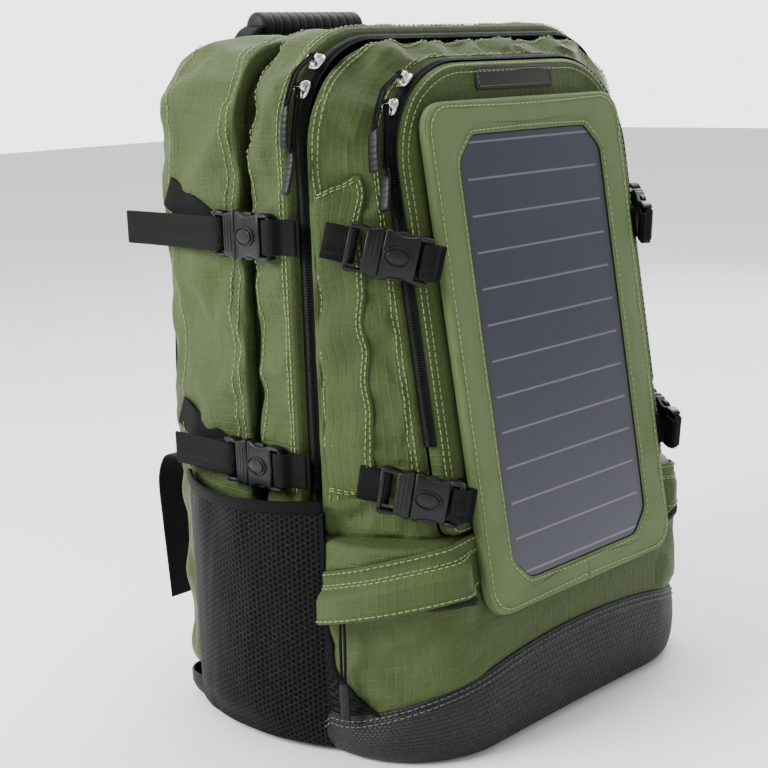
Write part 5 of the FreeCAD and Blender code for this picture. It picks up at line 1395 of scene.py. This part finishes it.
# ------------------------------------------------------------------ wings, flap, label
pocket_ground = Ground(pocket)
wings_cloth = Parts()
for s in (-1, 1):
    n, k = 40, 12
    rows = []
    for f in np.linspace(0, 1, n):
        y_rear, y_front = -39.5 + 2.5 * f, -66 + 12 * f
        z_rear, z_front = 160 + (327 - 160) * f, 153 + (340 - 153) * f
        row_pts = [(s * 175, y_rear + (y_front - y_rear) * g,
                z_rear + (z_front - z_rear) * g) for g in np.linspace(0, 1, k)]
        rows.append(row_pts)
    P = np.array(rows)
    hit, nor = pocket_ground.drop(P, np.array([-s, 0.0, 0.0]), 1.3, 80)
    hit = relax(hit, 2)
    rim = np.zeros((n, k, 1))
    rim[0] = rim[-1] = 1
    rim[:, -1] = rim[:, 0] = 1
    lift = 0.9 - 0.5 * rim
    top_side, low_side = hit + nor * lift, hit - nor * 0.9
    closed = np.concatenate([top_side, low_side[:, ::-1]], 1)
    wings_cloth.join(sealed(closed, s < 0))
    w = Cloth(top_side)
    inner_n, inner_k = n - 1, k - 1
    for d in (0.9, 2.0):
        dn = d / (inner_n / 8.0) * 1.6
        for path_t, path_s in ((np.full(24, dn), np.linspace(0.5, inner_k - d * 0.8, 24)),
                               (np.full(24, inner_n - dn), np.linspace(0.5, inner_k - d * 0.8, 24)),
                               (np.linspace(dn, inner_n - dn, 70), np.full(70, inner_k - d * 0.8))):
            pts = w.at(path_t, path_s)
            nn = np.broadcast_to(np.array([s * 0.9, -0.4, 0.05]), pts.shape)
            stitched(seams_light, pts + nn * 0.15, nn)
wings_obj = wings_cloth.build("wings_cloth", "ripstop_flat", "bag", "ripstop", 1, ["wings"])

# storm flap with a firm hem
def flap_grid():
    pts = np.array([p for p in plan(0.0, 65, 40, 34, 70) if p[1] < -41])
    n = len(pts)
    rows, outs = [], []
    tang = np.gradient(pts, axis=0)
    out2 = np.stack([tang[:, 1], -tang[:, 0]], 1)
    out2 /= np.linalg.norm(out2, axis=1)[:, None]
    out2 *= np.sign((out2 * (pts - np.array([0, -20]))).sum(1))[:, None]
    for (x, y), o in zip(pts, out2):
        rise = 0.3 * (-42 - y)
        zs = np.linspace(84 + rise, 114 + rise, 14)
        rows.append([(x, max(y, board_plane(z, 8.6)) if y < -60 else y, z) for z in zs])
        outs.append([(o[0], o[1], 0)] * 14)
    P, O = np.array(rows), np.array(outs)
    hit, _ = bottom_ground.drop(P, -O, 0.0, 30)
    gap = np.clip(((hit - P) * O).sum(2), 0, 7)
    for _ in range(6):
        g = np.pad(gap, 1, mode="edge")
        gap = np.maximum(gap, 0) * 0.5 + (g[:-2, 1:-1] + g[2:, 1:-1] + g[1:-1, :-2] + g[1:-1, 2:]) / 8
    behind_board = (np.abs(P[..., 0]) < 96) & (P[..., 1] < -60)
    lower = 1 - smooth(0.50, 0.80, np.linspace(0, 1, 14))[None]
    corner_part = smooth(93, 104, np.abs(P[..., 0]))
    slider_run = P[..., 0] < 0
    stand = lower * corner_part * (3.0 + 7.6 * slider_run) * smooth(-38, -45, P[..., 1])
    gap = np.where(behind_board, np.minimum(gap, 0.6), np.maximum(gap * (1 - lower), 0) + 0.6) + stand
    return P + O * gap[..., None], O


flap_P, flap_O = flap_grid()
n, k = flap_P.shape[:2]
level_f = np.linspace(0, 1, k)
hem = 1.1 * smooth(0.70, 0.76, level_f) * (1 - 0.5 * smooth(0.95, 1.0, level_f))
wavy = rough_noise(flap_P, 22, 0.8, 6.0) * (1 - smooth(0.6, 0.8, level_f))[None]
top_side = flap_P + flap_O * (1.3 + hem[None] + wavy)[..., None]
low_side = flap_P + flap_O * 0.1
closed = np.concatenate([top_side, low_side[:, ::-1]], 1)
flap_parts = sealed(closed, True)
flap_obj = flap_parts.build("storm_flap_cloth", "ripstop_flat", "bag", "ripstop", 1, ["storm_flap"])
flap_top = Cloth(top_side)
for s in (8.8, 9.4, 12.2, 1.0):
    pts = flap_top.at(np.arange(n), s)
    stitched(seams_light, pts + flap_O[:, 0] * 0.25, flap_O[:, 0])

# seam round the top of the base
base_line = []
for x, y in plan(1.4, 65, 60, 44, 110):
    z = base_edge(x, y) - 3.0
    yy = max(y, board_plane(z, 8.4)) if y < -60 else y
    base_line.append((x, yy, z))
base_line = np.array(base_line)
base_tang = np.gradient(base_line, axis=0)
base_out = np.cross(base_tang, Z)
base_out /= np.linalg.norm(base_out, axis=1)[:, None]
base_out *= np.sign((base_out * (base_line - np.array([0, -20, 40]))).sum(1))[:, None]
base_ground = Ground(Cloth(base_P, True))
base_hit, _ = base_ground.drop(base_line, -base_out, 0.15, 30)
stitched(seams_dark, base_hit, base_out)
base_hit2, _ = base_ground.drop(base_line - Z * 3.2, -base_out, 0.15, 30)
stitched(seams_dark, base_hit2, base_out)

# label
label_out = [(-36, -4.5), (-34, -6.5), (34, -6.5), (36, -4.5), (36, 4.5), (34, 6.5), (-34, 6.5), (-36, 4.5)]
label = Parts().slab(label_out, 0, 2.2, 0.7, 3)
label_m = axes_matrix(lean(8.6, 0, 161), X, UPB, -INB)
label.moved(label_m).build("label_patch_leather", "label", "bag", "label", 0, ["label_patch"])
ring_pts = [(-34, -4.6), (34, -4.6), (34, 4.6), (-34, 4.6), (-34, -4.6)]
dense = np.concatenate([np.linspace(ring_pts[i], ring_pts[i + 1], 30) for i in range(4)])
pts = lean(6.35, dense[:, 0], 161 + dense[:, 1])
stitched(seams_dark, pts, np.broadcast_to(-INB, pts.shape), 2.0, 1.0, 0.3)

seams_light.build("stitches_pale", "stitch_green", "bag", "ripstop")
seams_green.build("stitches_green", "stitch_green", "bag", "ripstop")
seams_dark.build("stitches_dark", "stitch_dark", "bag", "binding")

# ------------------------------------------------------------------ mesh pockets
def bottle_curve(grow, n=48):
    """The side pocket's outline seen from above, an arc through three points."""
    a, b, c = np.array([-145.0 + 0.0, -40.0 - grow]), np.array([-167.0 - grow, 20.0]), np.array([-145.0,
            80.0 + grow])
    sag = abs(b[0] - a[0])
    half = (c[1] - a[1]) / 2
    r = (half ** 2 + sag ** 2) / (2 * sag)
    cx, cy = b[0] + r, 20.0
    t = math.asin(half / r)
    ang = np.linspace(-t, t, n)
    return np.column_stack([cx - r * np.cos(ang), cy + r * np.sin(ang)])


def pocket_mesh(side):
    """A side pocket's net and its elastic binding."""
    curve = bottle_curve(0.0)
    n = len(curve)
    zs = np.concatenate([np.linspace(4, 20, 5), np.linspace(24, 148, 30)])
    f_edge = np.sin(np.linspace(0, math.pi, n))
    outer = []
    for (x, y), e in zip(curve, f_edge):
        col = []
        for z in zs:
            pinch = 7.0 * (1 - smooth(4, 26, z)) * e
            fold = 1.2 * noise.noise(Vector((y / 17, z / 60,
                    3.3))) + 0.8 * noise.noise(Vector((y / 8 + z / 40, z / 70, 8.1)))
            tuck = 1.6 * math.sin(y / 6.2 + z / 24) * smooth(95, 140, z) * e * 0.5
            col.append((x + pinch - (fold + tuck) * e, y, z))
        outer.append(col)
    outer = np.array(outer)
    inner = outer.copy()
    inner[..., 0] += 1.6
    inner[:, :2, 0] += 0.6
    closed = np.concatenate([outer, inner[:, ::-1]], 1)
    parts = sealed(closed)
    rim = np.column_stack([curve, np.full(n, 151.0)])
    rim[:, 2] -= 1.8 * f_edge ** 2
    bind = Parts()
    nor = np.gradient(rim, axis=0)
    nor = np.cross(nor, Z)
    nor /= np.linalg.norm(nor, axis=1)[:, None]
    pts = rim + np.array([1.0, 0, 0]) * 0.6
    bind.strap(pts, Z, 8.6, 3.6, 5)
    if side == "right":
        parts, bind = parts.moved(MIRROR), bind.moved(MIRROR)
    return parts, bind


def mesh_front(s):
    """The net's front part, which tapers forwards round the bottom compartment to the base."""
    rows = []
    for z in np.linspace(26, 146, 34):
        reach = 45 * (1 - (z - 26) / 120) ** 6 + 1.5
        row_points = []
        for g in np.linspace(0, 1, 14):
            y = -38 - reach * g
            x = -80 - math.sqrt(65 ** 2 - max(0.0, -46 - y) ** 2)
            row_points.append((-s * x, y, z))
        rows.append(row_points)
    P = np.array(rows)
    out = P - np.array([s * 80.0, -46.0, 0.0])
    out[..., 2] = 0
    out[..., 1] = np.minimum(out[..., 1], 0)
    out /= np.linalg.norm(out, axis=2)[..., None]
    hit, _ = bottom_ground.drop(P, -out, 0.9, 30)
    gap = np.maximum(((hit - P) * out).sum(2), 0.9)
    top_side = P + out * gap[..., None]
    closed = np.concatenate([top_side, (top_side - out * 0.7)[:, ::-1]], 1)
    return sealed(closed, s < 0), top_side


bindings = Parts()
for side in ("left", "right"):
    parts, bind = pocket_mesh(side)
    front_net, net_face = mesh_front(-1 if side == "left" else 1)
    parts.join(front_net)
    bind.strap(net_face[:, -1], net_face[:, -1] - net_face[:, -3], 4.0, 1.8, 3)
    obj = parts.build("side_pocket_%s_net" % side, "mesh", "bag", "mesh", 1, ["side_pocket_" + side])
    bindings.join(bind)
bindings.build("side_pocket_elastic", "binding", "bag", "binding", 1, ["side_pocket_bindings"])

# ------------------------------------------------------------------ solar board
def rounded_rect(half_w, half_h, r, count, chamfer=False, centre=0.0):
    """Evenly spaced outline points, starting at the middle of the bottom and running clockwise."""
    def corner_pts(cx, cy, a0):
        if chamfer:
            a, b = math.radians(a0), math.radians(a0 - 90)
            return [(cx + r * math.cos(a), cy + r * math.sin(a)),
                    (cx + r * math.cos(b), cy + r * math.sin(b))]
        return [(cx + r * math.cos(math.radians(a0 - t)),
                cy + r * math.sin(math.radians(a0 - t))) for t in np.linspace(0, 90, 9)]
    w, h = half_w - r, half_h - r
    pts = [(0, -half_h)] + corner_pts(-w, -h, 270) + corner_pts(-w, h, 180) + corner_pts(w, h,
            90) + corner_pts(w, -h, 360) + [(0, -half_h)]
    pts = np.array(pts, float)
    along = path_length(pts)
    q = np.linspace(0, along[-1], count, endpoint=False)
    return np.column_stack([np.interp(q, along, pts[:, 0]), np.interp(q, along, pts[:, 1]) + centre])


def frame_cover():
    count = 320
    outer = rounded_rect(90, 146.5, 16, count, False, 2.0)
    window = rounded_rect(66, 129, 14, count, True, 0.0)
    match = []
    for p in outer:
        match.append(window[np.argmin(np.hypot(*(window - p * np.array([66 / 90, 129 / 146.5])).T))])
    match = np.array(match)
    for _ in range(3):
        match = (np.roll(match, 1, 0) + match * 2 + np.roll(match, -1, 0)) / 4
    section = [(-0.0, 6.0), (-0.35, 4.6), (-0.45, 3.0), (-0.25, 1.4), (0.5, 0.5), (1.6, 0.15), (2.8, 0.05),
            (3.9, 0.42), (5.0, 0.0), (8, -0.25),
               (12, -0.3), (16, -0.2)]
    tail = [(7.5, -0.2), (5.0, -0.05), (3.6, 0.1), (2.9, 0.42), (2.1, 0.12), (0.9, 0.25), (0.25, 0.7),
            (0.0, 1.25)]
    rings = []
    gap = match - outer
    size = np.linalg.norm(gap, axis=1)[:, None]
    unit = gap / size
    for d, w in section:
        p = outer + unit * d
        rings.append(lean(w, p[:, 0], p[:, 1]))
    for d, w in tail:
        p = match - unit * d
        rings.append(lean(w, p[:, 0], p[:, 1]))
    P = np.array(rings).transpose(1, 0, 2)
    bump = rough_noise(P, 34, 0.30, 4.4) + rough_noise(P, 9, 0.10, 1.1)
    mask = np.ones(P.shape[1])
    mask[:3] = 0
    mask[-2:] = 0
    P = P - INB * (bump * mask[None])[..., None]
    parts = Parts().grid(P, True, flip=False)
    return parts, match, outer, unit


cover, window, cover_outer, cover_unit = frame_cover()
cover.build("solar_frame_cloth", "cover", "solar_flap", "frame_skin", 1, ["solar_frame"])
cover_seams = Parts()
for base_line2, d, w in ((cover_outer, 3.9, 0.30), (window, -2.9, 0.30)):
    p = base_line2 + cover_unit * d
    p = np.vstack([p, p[:1]])
    stitched(cover_seams, lean(w, p[:, 0], p[:, 1]), np.broadcast_to(-INB, (len(p), 3)), 2.6, 1.3, 0.36)
cover_seams.build("solar_frame_stitches", "stitch_pale", "solar_flap", "frame_skin")
# a thin dark tube in the crease where the cover's edge meets the laminate: painted shade of the gap
edge = window - cover_unit * 0.15
edge_path = lean(1.15, edge[:, 0], edge[:, 1])
gap_shade_tube = Parts().tube(np.vstack([edge_path, edge_path[:1]]), 0.55, 6, caps=False)
gap_shade_tube.build("window_gap_shade", "dark", "solar_flap", "frame_skin")
sheet_grid = lean(1.22, *np.meshgrid(np.linspace(-71, 71, 30), np.linspace(-134, 134, 50), indexing="ij"))
sheet_uv = np.stack(np.meshgrid(np.linspace(-71, 71, 30), np.linspace(-134, 134, 50), indexing="ij"), -1)
ripple = rough_noise(sheet_grid, 60, 0.10, 2.0)
sheet_grid = sheet_grid - INB * (ripple * 0.6)[..., None]
Parts().grid(sheet_grid, flip=True, uvs=sheet_uv).build("solar_laminate", "film", "solar_flap", "film", 0,
        ["solar_film"])

# ------------------------------------------------------------------ handle
def handle():
    """Webbing over the top, with a ribbed grip round it."""
    left = [(-61.5, 110.5, 387), (-61.0, 110.5, 395), (-59.0, 110.5, 406), (-54.5, 110.5, 415.5),
            (-48, 110.5, 420.5), (-40, 110.5, 422)]
    path = spline(left + [(x, y, z) for x, y, z in [(-20, 110.5, 422.3), (20, 110.5, 422.3)]] + [(-x, y,
            z) for x, y, z in left[::-1]], 90)
    Parts().strap(path, Y, 19, 3.0).build("handle_webbing_cloth", "webbing", "handle", "webbing", 0,
            ["handle_webbing"])
    xs = np.linspace(-46, 46, 132)
    rows = []
    for x in xs:
        end = abs(x) - 43
        r = 9.6 if end <= 0 else 9.6 - 3.2 * (end / 3) ** 2
        groove = 0.75 * max(0.0, math.cos(x * 2 * math.pi / 7.2)) ** 3 * (abs(x) < 41)
        r = r - groove
        ang = np.linspace(0, 2 * math.pi, 28, endpoint=False)
        rows.append([(x, 110.5 + r * math.cos(a) * 1.02, 422 + r * 0.98 * math.sin(a)) for a in ang])
    parts = Parts()
    start = parts.count
    parts.grid(np.array(rows), close_v=True)
    parts.ends(start, len(rows), 28)
    parts.build("handle_grip_rubber", "grip", "handle", "grip", 0, ["handle_grip"])


handle()

# ------------------------------------------------------------------ harness
def back_panel():
    """Mesh-covered pad against the back, with raised fields and a binding."""
    half, low, high, r = 128.0, 34.0, 384.0, 32.0
    vs = np.concatenate([low + np.array([0, 1.5, 4, 8, 14, 22, 32]), np.linspace(low + 40, high - 40, 60),
                         high - np.array([32, 22, 14, 8, 4, 1.5, 0])])
    ss = np.concatenate([[-1, -0.985, -0.965, -0.93], np.linspace(-0.88, 0.88, 41), [0.93, 0.965, 0.985, 1]])
    P = np.zeros((len(vs), len(ss), 3))
    for i, v in enumerate(vs):
        d = min(v - low, high - v)
        width = half - r + math.sqrt(max(0.0, r * r - max(0.0, r - d) ** 2))
        u = ss * width
        edge = np.minimum(np.minimum(width - np.abs(u), d), 6) / 6
        rise = np.sqrt(np.clip(1 - (1 - edge) ** 2, 0, 1))
        spine = np.exp(-(u / 15) ** 2)
        cross = sum(math.exp(-((v - z) / 7) ** 2) for z in (118, 208, 298)) * np.ones_like(u)
        depth = 100.4 + 11.6 * rise * (1 - 0.55 * np.clip(spine + cross * 0.8, 0, 1))
        P[i, :, 0], P[i, :, 1], P[i, :, 2] = u, depth, v
    parts = Parts().grid(P, flip=True)
    obj = parts.build("back_pad_mesh", "air", "bag", "air_mesh", 1, ["back_pad"])
    o = arch(half, low, high, r, r)
    line = np.column_stack([o[:, 0], np.full(len(o), 102.2), o[:, 1]])
    Parts().tube(np.vstack([line, line[:1]]), 2.6, 10, caps=False).build("back_pad_binding", "binding",
            "bag", "binding")


back_panel()


def arc3(a, b, c, count):
    """Points on the circle through three (y, z) points."""
    (ax, ay), (bx, by), (cx, cy) = a, b, c
    d = 2 * (ax * (by - cy) + bx * (cy - ay) + cx * (ay - by))
    ux = ((ax * ax + ay * ay) * (by - cy) + (bx * bx + by * by) * (cy - ay) + (cx * cx + cy * cy) * (ay - by)) / d
    uy = ((ax * ax + ay * ay) * (cx - bx) + (bx * bx + by * by) * (ax - cx) + (cx * cx + cy * cy) * (bx - ax)) / d
    r = math.hypot(ax - ux, ay - uy)
    a0, a1 = math.atan2(ay - uy, ax - ux), math.atan2(cy - uy, cx - ux)
    return np.array([(ux + r * math.cos(t), uy + r * math.sin(t)) for t in np.linspace(a0, a1, count)])


def shoulder_pads():
    """Two curved pads that stand off the back, with bound edges and a band."""
    back = PAD_BACK + 0.5
    low, top = 150.0, 374.0
    mid = (top + 2 * low) / 3 + 20
    curve = arc3((back + 5, top), (back + 21, mid), (back + 6, low), 70)
    sides = [arc3((-56 + s * 27, top + 1), ((-56 * 0.45 - 95 * 0.55) + s * 24.5, (top + low) / 2),
            (-95 + s * 22, low - 1), 200) for s in (-1, 1)]
    pads, edge, band = Parts(), Parts(), Parts()
    rows, rims, bands = [], ([], []), []
    for y, z in curve:
        x0, x1 = (np.interp(z, s[::-1, 1], s[::-1, 0]) for s in sides)
        xm, w = (x0 + x1) / 2, abs(x1 - x0) / 2
        end = min(z - low, top - z, 8) / 8
        h = 5.0 * math.sqrt(max(0.05, 1 - (1 - end) ** 2))
        ang = np.linspace(0, 2 * math.pi, 28, endpoint=False)
        c, s = np.cos(ang), np.sin(ang)
        m = (np.abs(c) ** 5 + np.abs(s) ** 5) ** -0.2
        rows.append([(xm + w * a * k, y + h * b * k, z) for a, b, k in zip(c, s, m)])
        rims[0].append((xm - w + 0.6, y, z))
        rims[1].append((xm + w - 0.6, y, z))
        bands.append((xm, y + h + 0.3, z))
    P = np.array(rows)
    pads.grid(P, close_v=True, flip=True)
    pads.faces.append(tuple(range(28)))
    pads.faces.append(tuple(reversed(range(69 * 28, 70 * 28))))
    for rim in rims:
        edge.tube(np.array(rim), 1.7, 8)
    band.strap(np.array(bands)[2:-3], X, 25, 1.4)
    for k, parts, mat, slot_name in ((0, pads, "air_dark", "lining"), (1, edge, "binding", "binding"),
            (2, band, "webbing", "webbing")):
        both = Parts().join(parts).join(parts.moved(MIRROR))
        name = ("shoulder_pads_foam", "shoulder_pads_edge", "shoulder_pads_band")[k]
        obj = both.build(name, mat, "bag", slot_name, 1 if k == 0 else 0, ["shoulder_pads"] if k == 0 else [])


shoulder_pads()


def adjuster_webbing():
    """The lower webbing of both shoulder straps, through the ladder locks."""
    box_high = corner("shoulder_webbing", 1)
    foot = PAD_BACK + 0.9
    lock = corner("ladder_locks", 0)[1], corner("ladder_locks", 1)[1]
    tall = corner("ladder_locks", 1)[2]
    x = -95.0
    taut = [(x, foot, 60), (x, foot, 68), (x, foot + 0.2, 78), (x, lock[0] - 2.5, tall - 30),
            (x, lock[0] - 0.9, tall - 18)]
    reach = box_high[1]
    free = [(x, lock[1] + 0.3, tall - 15), (x, lock[1] + 12, tall - 11), (x, lock[1] + 27, tall - 7),
            (x, reach - 7.5, tall - 11),
            (x, reach - 1.6, tall - 26), (x, reach - 2.8, tall - 52), (x, reach - 5.4, tall - 84),
            (x, reach - 7.5, 41)]
    parts = Parts().strap(spline(taut, 40), X, 25, 1.8).strap(spline(free, 70), X, 25, 1.8)
    Parts().join(parts).join(parts.moved(MIRROR)).build("shoulder_webbing_cloth", "webbing", "bag",
            "webbing", 0, ["shoulder_webbing"])


adjuster_webbing()

# ------------------------------------------------------------------ carried-over solids
CARRIED = {
    "ladder_locks": "buckle", "backing_board": "board", "solar_cells": "dark", "hook_pads": "lining",
    "frame_sheet": "hdpe",
    "frame_stays": "alu", "junction_box_case": "box", "junction_box_lid": "box", "regulator_board": "circuit",
    "usb_socket": "steel", "power_bank_case": "bank", "power_bank_lid": "bank", "power_bank_cell": "steel",
    "power_bank_board": "circuit", "power_bank_sleeve": "lining",
}
for node, mat in CARRIED.items():
    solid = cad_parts[node]
    solid.data.materials.clear()
    solid.data.materials.append(M[mat])

# ------------------------------------------------------------------ camera, light and floor
CAM = dict(F=1500.0, az=-45.583, el=12.228, roll=-2.0, tx=104.68, ty=23.18, d=897.87)


def make_camera():
    a, e = math.radians(CAM["az"]), math.radians(CAM["el"])
    back = Vector((math.sin(a) * math.cos(e), -math.cos(a) * math.cos(e), math.sin(e)))
    right = (-back).cross(Vector((0, 0, 1))).normalized()
    up = back.cross(right)
    r = math.radians(CAM["roll"])
    right, up = right * math.cos(r) + up * math.sin(r), up * math.cos(r) - right * math.sin(r)
    spot = Vector(MIDDLE) - right * CAM["tx"] - up * CAM["ty"] + back * CAM["d"]
    data = bpy.data.cameras.new("camera")
    data.sensor_width = 36.0
    data.lens = CAM["F"] / 768 * 36.0
    data.clip_start = 0.05
    cam = bpy.data.objects.new("camera", data)
    m = Matrix((right, up, back)).transposed().to_4x4()
    m.translation = spot * MM
    cam.matrix_world = m
    bpy.context.scene.collection.objects.link(cam)
    bpy.context.scene.camera = cam
    return cam


def area(name, where, target, size, power, colour=(1, 1, 1)):
    data = bpy.data.lights.new(name, "AREA")
    data.shape = "RECTANGLE"
    data.size, data.size_y = size
    data.energy = power
    data.color = colour
    obj = bpy.data.objects.new(name, data)
    obj.location = where
    obj.rotation_euler = (Vector(target) - Vector(where)).to_track_quat("-Z", "Y").to_euler()
    bpy.context.scene.collection.objects.link(obj)


make_camera()
world = bpy.data.worlds.new("studio")
world.use_nodes = True
backdrop = world.node_tree.nodes.new("ShaderNodeTexCoord")
toward = world.node_tree.nodes.new("ShaderNodeVectorMath")
toward.operation = "DOT_PRODUCT"
toward.inputs[1].default_value = (0.70, 0.71, 0.0)
glow = world.node_tree.nodes.new("ShaderNodeMapRange")
for key, value in (("From Min", 0.15), ("From Max", 0.75), ("To Min", 0.52), ("To Max", 3.4)):
    glow.inputs[key].default_value = value
world.node_tree.links.new(backdrop.outputs["Generated"], toward.inputs[0])
world.node_tree.links.new(toward.outputs["Value"], glow.inputs["Value"])
world.node_tree.links.new(glow.outputs[0], world.node_tree.nodes["Background"].inputs["Strength"])
world.node_tree.nodes["Background"].inputs["Color"].default_value = (1, 1, 1, 1)
bpy.context.scene.world = world
area("key", (-1.5, 0.55, 1.15), (0, 0, 0.2), (0.9, 0.9), 66)
area("front", (-0.3, -1.9, 1.0), (0, 0, 0.2), (1.2, 1.2), 9)
area("top", (0.3, 0.1, 1.8), (0, 0, 0.2), (1.0, 1.0), 30)
area("rim", (1.6, 0.5, 0.9), (0, 0, 0.2), (0.8, 0.8), 10)

floor_mat = bpy.data.materials.new("floor")
floor_mat.use_nodes = True
floor_mat.node_tree.nodes["Principled BSDF"].inputs["Base Color"].default_value = (0.86, 0.86, 0.86, 1)
floor_mat.node_tree.nodes["Principled BSDF"].inputs["Roughness"].default_value = 0.9
floor_data = bpy.data.meshes.new("floor")
floor_data.from_pydata([(-6, -6, 0), (6, -6, 0), (6, 6, 0), (-6, 6, 0)], [], [(0, 1, 2, 3)])
floor = bpy.data.objects.new("floor", floor_data)
floor_data.materials.append(floor_mat)
bpy.context.scene.collection.objects.link(floor)
